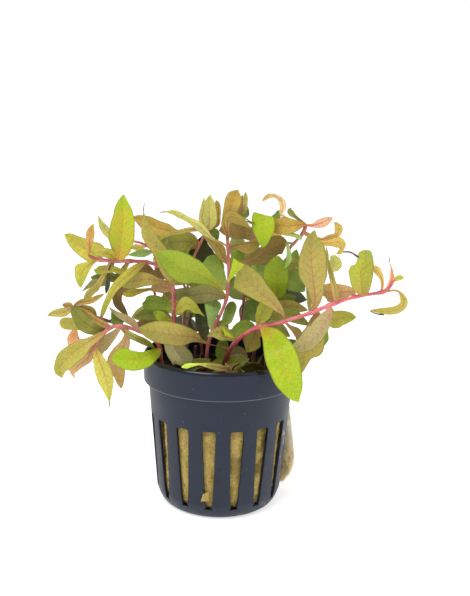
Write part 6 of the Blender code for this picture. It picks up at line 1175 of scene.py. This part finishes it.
def make_pot():
    """A round wall of one skin outside and one inside, open at each slot, with a rim between the two."""
    outer = BASE_OUTLINE + CORNER_OUTLINE
    slot_rows = {}
    for z, half in SLOT_SIDE:
        slot_rows[len(outer)] = half
        outer.append((slot_wall_radius(z), z))
    outer += [(body_radius(z), z) for z in [*PLAIN_BODY_Z, BODY_END_Z]] + COLLAR_OUTSIDE
    rim = len(outer)
    inner = COLLAR_INSIDE + [(body_radius(z) - WALL, z) for z in reversed(PLAIN_BODY_Z)]
    inner_rows = {}
    for z, half in reversed(SLOT_SIDE):
        inner_rows[rim + len(inner)] = half
        inner.append((slot_wall_radius(z) - WALL, z))
    profile = outer + inner + FLOOR_INSIDE
    halves = {**slot_rows, **inner_rows}
    rib, hole = 4, 4
    per_slot = 2 * rib + hole
    columns = per_slot * SLOT_COUNT
    vertices = []
    for number, (radius, z) in enumerate(profile):
        half = halves.get(number)
        if half is None:
            near = min(halves, key=lambda key: abs(profile[key][1] - z) + abs(profile[key][0] - radius))
            gap = abs(profile[near][1] - z) + 0.3 * abs(profile[near][0] - radius)
            share = float(ease(np.array(gap), 0, 6))
            even = SLOT_SPACING * hole / per_slot / 2
            angle_half = halves[near] / profile[near][0] * (1 - share) + even * share
        else:
            angle_half = half / radius
        for slot_number in range(SLOT_COUNT):
            centre = radians(SLOT_FIRST_DEG) + slot_number * SLOT_SPACING
            turns = list(np.linspace(-angle_half, angle_half, hole + 1)[:-1])
            turns += list(np.linspace(angle_half, SLOT_SPACING - angle_half, 2 * rib + 1)[:-1])
            for turn in turns:
                angle = centre + turn
                vertices.append((radius * sin(angle), -radius * cos(angle), z))
    faces = []
    for row in range(len(profile) - 1):
        open_row = any(row in rows and row + 1 in rows for rows in (slot_rows, inner_rows))
        for column in range(columns):
            if open_row and column % per_slot < hole:
                continue
            here = row * columns + column
            there = row * columns + (column + 1) % columns
            faces.append((here, there, there + columns, here + columns))
    outside = sorted(slot_rows)
    inside = sorted(inner_rows, reverse=True)
    for slot_number in range(SLOT_COUNT):
        first = slot_number * per_slot
        for side in (first, first + hole):
            for out_row, out_next, in_row, in_next in zip(outside, outside[1:], inside, inside[1:]):
                faces.append([row * columns + side for row in (out_row, out_next, in_next, in_row)])
        for out_row, in_row in ((outside[0], inside[0]), (outside[-1], inside[-1])):
            for column in range(first, first + hole):
                faces.append((out_row * columns + column, out_row * columns + column + 1,
                              in_row * columns + column + 1, in_row * columns + column))
    faces.append(tuple(range(columns)))
    last = (len(profile) - 1) * columns
    faces.append(tuple(range(last, last + columns)))
    pot = mesh_piece("net_pot", vertices, faces, MATERIALS["pot_plastic"], ["pot"], sharp=0)
    bevel = pot.modifiers.new("soft_edges", "BEVEL")
    bevel.width = 0.14 * MM
    bevel.segments = 2
    bevel.limit_method = "ANGLE"
    bevel.angle_limit = radians(38)
    weigh = pot.modifiers.new("even_shading", "WEIGHTED_NORMAL")
    weigh.keep_sharp = False


def wool_radius(angle, z):
    """The plug's radius: close behind the wall, swelling a little into each slot, shrunk back at the left."""
    wall = body_radius(z) - WALL
    off = (angle - radians(SLOT_FIRST_DEG) + SLOT_SPACING / 2) % SLOT_SPACING - SLOT_SPACING / 2
    swell = 0.45 * hump(off, 0, 0.07) * ease(z, 4, 8) * ease(SLOT_TOP_Z - z, 0, 2.5)
    shrunk = 2.6 * hump(angle, radians(-77), 0.16) * ease(z, 10, 17)
    shrunk = shrunk + 1.2 * hump(angle, radians(-60), 0.07) * ease(z, 9, 24)
    return wall - 0.35 + swell - shrunk


def rough(point, scale, seed=0.0):
    return noise.noise(Vector(point) * scale + Vector((seed, 0, 0)))


def wool_height(flat):
    """The height of the plug's uneven top over a point of the plane z = 0."""
    broad = 0.5 * rough(flat, 0.2, 3) + 0.45 * rough(flat, 0.6, 7)
    return WOOL_TOP_Z - 0.3 + broad + 0.25 * rough(flat, 1.5, 2)


def make_wool():
    steps, levels = 192, 66
    bottom, top = WALL + 0.3, WOOL_TOP_Z
    rows = []
    for level in range(levels):
        z = bottom + (top - bottom) * level / (levels - 1)
        ring = []
        for step in range(steps):
            angle = -pi + 2 * pi * step / steps
            radius = wool_radius(angle, z)
            if z < WOOL_SHOULDER_Z:
                spread = sin(pi / 2 * (z - bottom) / 4.7)
                radius = min(radius, WOOL_FOOT_RADIUS + (radius - WOOL_FOOT_RADIUS) * spread)
            radius -= 1.8 * float(ease(z, 41, 43))
            point = np.array([radius * sin(angle), -radius * cos(angle), z])
            lumps = 0.22 * rough(point, 0.35) + 0.16 * rough(point, 1.1, 5) + 0.1 * rough(point, 2.3, 9)
            ring.append(point * np.array([1 + lumps / radius, 1 + lumps / radius, 1]))
        rows.append(ring)
    for share in (0.93, 0.84, 0.74, 0.63, 0.52, 0.41, 0.3, 0.2, 0.1, 0.02):
        ring = []
        for point in rows[levels - 1]:
            inward = np.array([point[0] * share, point[1] * share, 0])
            ring.append(inward + np.array([0, 0, wool_height(inward)]))
        rows.append(ring)
    vertices = np.array(rows).reshape(-1, 3)
    faces = grid_faces(len(rows), steps, True)
    faces.append(tuple(range(steps)))
    faces.append(tuple(range((len(rows) - 1) * steps, len(rows) * steps)))
    mesh_piece("wool_plug", vertices, faces, MATERIALS["rock_wool"], ["rock_wool"], sharp=0)


# The tuft's course down the outside, as radius from the pot's axis and height, and its own radii
TUFT_COURSE = [(24.0, 31.5), (24.3, 27.5), (24.65, 22.5), (24.95, 17), (25.0, 11), (24.2, 6), (22.4, 2.4)]
TUFT_RADII = [0.35, 0.75, 1.15, 1.6, 1.9, 1.65, 0.6]
TUFT_ANGLE = radians(SLOT_FIRST_DEG) + TUFT_SLOT * SLOT_SPACING
TUFT_OUTWARD = np.array([sin(TUFT_ANGLE), -cos(TUFT_ANGLE), 0])
TUFT_SIDEWAYS = np.array([cos(TUFT_ANGLE), sin(TUFT_ANGLE), 0])


def tuft_course():
    return [TUFT_OUTWARD * radius + np.array([0, 0, z]) for radius, z in TUFT_COURSE]


def tuft_radius(shares):
    return np.interp(shares, np.linspace(0, 1, len(TUFT_RADII)), TUFT_RADII)


def make_tuft():
    count, sides = 60, 26
    shares = np.linspace(0, 1, count)
    centres, _ = smooth(tuft_course(), shares)
    ends = np.minimum(1, shares / 0.05) * np.minimum(1, (1 - shares) / 0.04)
    radii = np.sqrt(np.clip(tuft_radius(shares) ** 2 * ends, 0.001, 9))
    vertices, faces = tube_mesh(centres, radii, sides)
    lumpy = []
    for point in vertices:
        centre = centres[np.abs(centres[:, 2] - point[2]).argmin()]
        out = (point - centre) * np.array([1, 1, 0])
        lumps = 0.28 * rough(point, 0.45, 4) + 0.14 * rough(point, 1.4, 8)
        lumpy.append(point + out * lumps)
    mesh_piece("wool_tuft", lumpy, faces, MATERIALS["tuft"], ["rock_wool"], sharp=0)


# A scrap of wool at one slot's foot: x, z and how far out from the pot's body each corner lies
SCRAP_CORNERS = np.array([[(-4.6, 9.9, 0.45), (-2.9, 10.3, -0.8)], [(-5.6, 7.1, 0.5), (-2.8, 6.7, -0.8)]])


def make_scrap():
    """Wool that is pulled out of the slot and lies over the rib beside it."""
    count = 9
    down, right = (shares[:, None] for shares in square_shares(count))
    (top_left, top_right), (foot_left, foot_right) = SCRAP_CORNERS
    top = top_left * (1 - right) + top_right * right
    foot = foot_left * (1 - right) + foot_right * right
    x, z, over = (top * (1 - down) + foot * down).T
    crown = np.sqrt(4 * right * (1 - right) * down * (1 - down)).ravel()
    skins = []
    for side in (1, -1):
        lumps = np.array([rough((*spot, side), 1.3, 9) for spot in zip(x, z)])
        radius = body_radius(z) + over + side * (0.12 + 0.35 * crown) + 0.3 * lumps
        across = x + 0.35 * lumps
        skins.append(np.stack([across, -np.sqrt(radius**2 - across**2), z + 0.3 * lumps], -1))
    mesh_piece("wool_scrap", np.vstack(skins), two_skins(count, count), MATERIALS["rock_wool"],
               ["rock_wool"], sharp=0)


# How many loose fibres the slots, the tuft and the plug's top have
SLOT_FIBRES, TUFT_FIBRES, TOP_FIBRES = 4600, 1900, 1300


def fibre_strands(starts, ways, lengths, bends, thickness):
    """Thin three-sided hairs. Each bends sideways along its length."""
    steps = 4
    side = unit(np.cross(ways, bends))
    vertices = []
    for step in range(steps + 1):
        share = step / steps
        bow = lengths * 0.32 * share * (1 - share)
        centre = starts + ways * (lengths * share)[:, None] + bends * bow[:, None]
        radius = thickness * (1 - 0.75 * share)
        for turn in range(3):
            angle = turn * 2 * pi / 3
            offset = (bends * cos(angle) + side * sin(angle)) * radius[:, None]
            vertices.append(centre + offset)
    points = np.stack(vertices, 1)
    faces = []
    each = 3 * (steps + 1)
    for strand in range(len(starts)):
        first = strand * each
        faces += grid_faces(steps + 1, 3, True, first)
        faces.append((first, first + 1, first + 2))
        faces.append((first + each - 3, first + each - 2, first + each - 1))
    return points.reshape(-1, 3), faces, each


def make_fibres():
    chance = np.random.default_rng(11)
    starts, ways, bends, lengths, pales = [], [], [], [], []
    while len(starts) < SLOT_FIBRES:
        slot_number = chance.integers(SLOT_COUNT)
        z = chance.uniform(4.6, 30.8)
        centre = radians(SLOT_FIRST_DEG) + slot_number * SLOT_SPACING
        half = np.interp(z, *zip(*SLOT_SIDE)) / body_radius(z)
        angle = (centre + chance.uniform(-1.05, 1.05) * half + pi) % (2 * pi) - pi
        out = np.array([sin(angle), -cos(angle), 0])
        flat = np.array([cos(angle), sin(angle), 0])
        lean = chance.normal(0, 0.75)
        way = unit(np.array([0, 0, cos(lean)]) + flat * sin(lean) + out * chance.uniform(-0.06, 0.14))
        starts.append(out * (wool_radius(angle, z) - 0.02) + np.array([0, 0, z]))
        ways.append(way * chance.choice([-1, 1]))
        bends.append(unit(np.cross(way, out) * chance.normal(0, 1) + out * 0.5))
        lengths.append(chance.uniform(0.8, 2.2))
        pales.append(0.0)
    for _ in range(TUFT_FIBRES):
        share = chance.uniform(0.0, 0.98)
        centre, along = smooth(tuft_course(), [share])
        radius = tuft_radius(share)
        turn = chance.uniform(0, 2 * pi)
        out = TUFT_OUTWARD * cos(turn) + TUFT_SIDEWAYS * sin(turn)
        outwards = out * chance.uniform(0.0, 0.22)
        aside = np.cross(along[0], out) * chance.normal(0, 0.3)
        starts.append(centre[0] + out * radius * 0.93)
        ways.append(unit(along[0] + outwards + aside))
        bends.append(out)
        lengths.append(chance.uniform(1.2, 3.4) * min(1, 0.35 + (1 - share) * 2))
        pales.append(0.4 + float(ease(share, 0.75, 0.2)) * 0.58)
    for _ in range(TOP_FIBRES):
        angle, radius = chance.uniform(0, 2 * pi), 21 * np.sqrt(chance.uniform(0, 1))
        flat = np.array([radius * sin(angle), -radius * cos(angle), 0])
        heading = chance.uniform(0, 2 * pi)
        starts.append(flat + np.array([0, 0, wool_height(flat)]))
        ways.append(unit(np.array([cos(heading), sin(heading), chance.uniform(-0.05, 0.35)])))
        bends.append(unit(np.array([chance.normal(), chance.normal(), 0.8])))
        lengths.append(chance.uniform(1.5, 4))
        pales.append(0.0)
    count = len(starts)
    thickness = chance.uniform(0.03, 0.065, count)
    tones = np.clip(chance.normal(0.55, 0.3, count), 0, 1)
    starts, ways, bends = np.array(starts), np.array(ways), np.array(bends)
    vertices, faces, each = fibre_strands(starts, ways, np.array(lengths), bends, thickness)
    attributes = {"tone": np.repeat(tones, each), "pale": np.repeat(pales, each)}
    mesh_piece("wool_fibres", vertices, faces, MATERIALS["fibres"], ["rock_wool"], attributes,
               sharp=0)


def twig(name, points, radii, material, nodes=()):
    """A thin uneven stick along a course, as an old stem's stub or a leaf's withered end."""
    course = [place(*point) for point in points]
    length = np.linalg.norm(np.diff(course, axis=0), axis=1).sum()
    shares = np.linspace(0, 1, max(8, int(length / 0.5)))
    centres, _ = smooth(course, shares)
    thick = np.interp(shares, np.linspace(0, 1, len(radii)), radii)
    thick = thick * (1 + 0.12 * np.sin(shares * length * 2.1) * np.sin(shares * length * 0.9))
    sides = 8
    vertices, faces = tube_mesh(centres, thick, sides)
    attributes = tube_numbers(0.5 + shares / 2, shares, length, sides, 0.3)
    mesh_piece(name, vertices, faces, material, nodes, attributes)


# Old leafless stubs in the wool: each one's course and radii
STUBS = [
    ([(-12.4, 43, 1), (-12, 48, 1), (-11.2, 53.5, 2)], [0.6, 0.5, 0.35]),
    ([(-9.6, 43, 2), (-9, 48, 3), (-8.6, 53, 3)], [0.7, 0.6, 0.5]),
    ([(-7.8, 43, 1), (-7.6, 47, 0), (-6.6, 50.5, 0)], [0.5, 0.45, 0.3]),
    ([(-11.2, 53, 5), (-11.2, 60, 5), (-10.6, 64.5, 5)], [0.45, 0.4, 0.25]),
    ([(10.8, 42, 3), (10.7, 47, 4), (11, 52, 4)], [0.55, 0.5, 0.4]),
    ([(8.4, 43, 6), (8.2, 46.5, 7), (8.8, 50, 7)], [0.5, 0.4, 0.3]),
    ([(14.6, 43, 4), (14.8, 46.5, 4), (15.4, 50.5, 5)], [0.5, 0.4, 0.3]),
    ([(3.5, 43, -4), (4.2, 45.6, -5), (6.4, 47.2, -6)], [0.4, 0.35, 0.25]),
    ([(-8.7, 57.4, 1), (-9.9, 59.4, 0.5), (-10.9, 61.1, 0), (-10.6, 62.8, -0.5), (-9.8, 64.2, -1)],
     [0.5, 0.6, 0.6, 0.55, 0.35]),
]


def make_stubs():
    for number, (points, radii) in enumerate(STUBS, 1):
        twig(f"old_stub_{number}", points, radii, MATERIALS["old_stub"], ["rock_wool"])


# Withered thread-like tips and brown tails: each one's course, radii and look
TAILS = [
    ([(-26.1, 97.6, 2.2), (-26, 99.3, 2.2), (-25.5, 100.5, 2)], [0.2, 0.13, 0.07], "withered_tip"),
    ([(-19, 97.6, -5), (-20.3, 97.5, -5), (-21.1, 97, -5)], [0.22, 0.16, 0.09], "withered_tip"),
    ([(44.3, 84.2, -14), (42.8, 85.2, -14), (41.5, 85.8, -13), (40.1, 85.9, -12), (39.2, 85.8, -12)],
     [0.36, 0.3, 0.27, 0.27, 0.2], "old_stub"),
    ([(54.3, 82.9, -10), (54.7, 83.6, -10), (54.3, 84.6, -10)], [0.22, 0.16, 0.08], "withered_tip"),
    ([(-37.6, 32.6, -17), (-37.6, 31.7, -17), (-37.6, 30.7, -17)], [0.3, 0.2, 0.1], "withered_tip"),
    ([(53.9, 65.1, -13), (51.9, 65.2, -13), (50.2, 65.7, -13), (49.3, 66.2, -13)], [0.3, 0.25, 0.2, 0.12],
     "old_stub"),
]


def make_tails():
    for number, (points, radii, look) in enumerate(TAILS, 1):
        twig(f"leaf_tail_{number}", points, radii, MATERIALS[look])


# Dead and torn leaves that lie on the wool: the middle (x, y), heading, length, width, rise and look
LITTER = [
    ((4, -17), 15, 11, 4.5, 1.6, "litter"), ((11, -13), 150, 12, 5, 2.2, "moss"),
    ((-5, -18), 200, 10, 4, 1.4, "litter"), ((14, -9), 60, 10, 4, 2.5, "litter"),
    ((8, -8), 110, 12, 5, 2.4, "moss"), ((-12, -14), 20, 11, 4.4, 1.5, "moss"),
    ((-2, -12), 80, 12, 5, 2.0, "litter"), ((18, -4), 100, 11, 4.4, 2.0, "umber"),
    ((-16, -6), 120, 11, 4.6, 2.0, "umber"), ((2, -4), 330, 12, 5, 2.4, "umber"),
    ((10, 2), 200, 12, 5, 2.2, "moss"), ((-9, -2), 45, 12, 5, 2.4, "litter"),
    ((-14, 6), 290, 11, 4.4, 1.8, "litter"), ((5, 10), 20, 12, 5, 2, "moss"),
    ((-4, 14), 170, 12, 5, 2, "umber"), ((14, 12), 250, 11, 4.6, 2, "litter"),
    ((0, -20), 350, 9, 3.6, 1.2, "umber"), ((8, -19), 190, 9, 3.4, 1.6, "moss"),
]

# How far a dead leaf is turned and folded (degrees), the share of it that is stalk, and its first seed
LITTER_TURN, LITTER_FOLD, LITTER_STALK, LITTER_SEED = -62, 12, 0.05, 700


def make_litter():
    for number, ((x, y), heading, length, width, rise, look) in enumerate(LITTER, 1):
        way = np.array([cos(radians(heading)), sin(radians(heading)), 0])
        middle = np.array([x, y, WOOL_TOP_Z + 0.7])
        course = [middle - way * length / 2, middle + np.array([0, 0, rise]), middle + way * length / 2]
        row = (None, width, LITTER_TURN, LITTER_FOLD, "brown", LITTER_STALK)
        vertices, faces, attributes = blade_mesh(course, row, LITTER_SEED + number)
        mesh_piece(f"dead_leaf_{number}", vertices, faces, MATERIALS[look], (), attributes)


# The studio

def make_studio():
    scene = bpy.context.scene
    scene.view_settings.view_transform = "Standard"
    scene.view_settings.look = "None"
    floor_mesh = bpy.data.meshes.new("floor")
    corners = [(x * FLOOR_REACH, y * FLOOR_REACH, 0) for x, y in ((-1, -1), (1, -1), (1, 1), (-1, 1))]
    floor_mesh.from_pydata(corners, [], [(0, 1, 2, 3)])
    tree = Tree("floor")
    floor_mesh.materials.append(tree.finish(
        Base_Color=(0.95, 0.95, 0.95, 1),
        Roughness=0.9,
        Specular_IOR_Level=0.1,
        Emission_Color=(1, 1, 1, 1),
        Emission_Strength=FLOOR_GLOW,
    ))
    floor = bpy.data.objects.new("floor", floor_mesh)
    floor.location.z = FLOOR_Z
    scene.collection.objects.link(floor)
    world = bpy.data.worlds.new("studio")
    world.use_nodes = True
    scene.world = world
    nodes, links = world.node_tree.nodes, world.node_tree.links
    nodes.clear()
    output = nodes.new("ShaderNodeOutputWorld")
    light = nodes.new("ShaderNodeBackground")
    light.inputs["Color"].default_value = (1.0, 0.99, 0.98, 1)
    light.inputs["Strength"].default_value = WORLD_LIGHT
    plain = nodes.new("ShaderNodeBackground")
    plain.inputs["Color"].default_value = (1, 1, 1, 1)
    plain.inputs["Strength"].default_value = 1.0
    path = nodes.new("ShaderNodeLightPath")
    choose = nodes.new("ShaderNodeMixShader")
    links.new(path.outputs["Is Camera Ray"], choose.inputs[0])
    links.new(light.outputs[0], choose.inputs[1])
    links.new(plain.outputs[0], choose.inputs[2])
    links.new(choose.outputs[0], output.inputs[0])
    for name, spot, size, watts in LAMPS:
        data = bpy.data.lights.new(name, "AREA")
        data.shape = "SQUARE"
        data.size = size
        data.energy = watts
        lamp = bpy.data.objects.new(name, data)
        lamp.location = spot
        lamp.rotation_euler = (Vector(LAMP_AIM) - Vector(spot)).to_track_quat("-Z", "Y").to_euler()
        scene.collection.objects.link(lamp)


def turn_matrix(yaw, pitch, roll):
    about_z = Matrix.Rotation(radians(yaw), 3, "Z")
    about_x = Matrix.Rotation(radians(pitch), 3, "X")
    about_y = Matrix.Rotation(radians(roll), 3, "Y")
    return about_z @ about_x @ about_y


def make_camera():
    data = bpy.data.cameras.new("camera")
    data.sensor_fit = "VERTICAL"
    data.sensor_height = SENSOR_HEIGHT
    data.lens = FOCAL_PIXELS / PHOTO_HEIGHT * SENSOR_HEIGHT
    data.clip_start = 0.01
    camera = bpy.data.objects.new("camera", data)
    turned = turn_matrix(CAMERA_YAW, CAMERA_PITCH, CAMERA_ROLL)
    right, forward, up = turned.col[0], turned.col[1], turned.col[2]
    place_matrix = Matrix((right, up, -forward)).transposed().to_4x4()
    place_matrix.translation = Vector((0, -EYE_DISTANCE, EYE_HEIGHT)) * MM
    camera.matrix_world = place_matrix
    bpy.context.scene.collection.objects.link(camera)
    bpy.context.scene.camera = camera


make_pot()
make_wool()
make_tuft()
make_scrap()
make_fibres()
make_stems()
make_stubs()
make_leaves()
make_flaps()
make_tails()
make_litter()
make_studio()
make_camera()

bpy.context.view_layer.update()
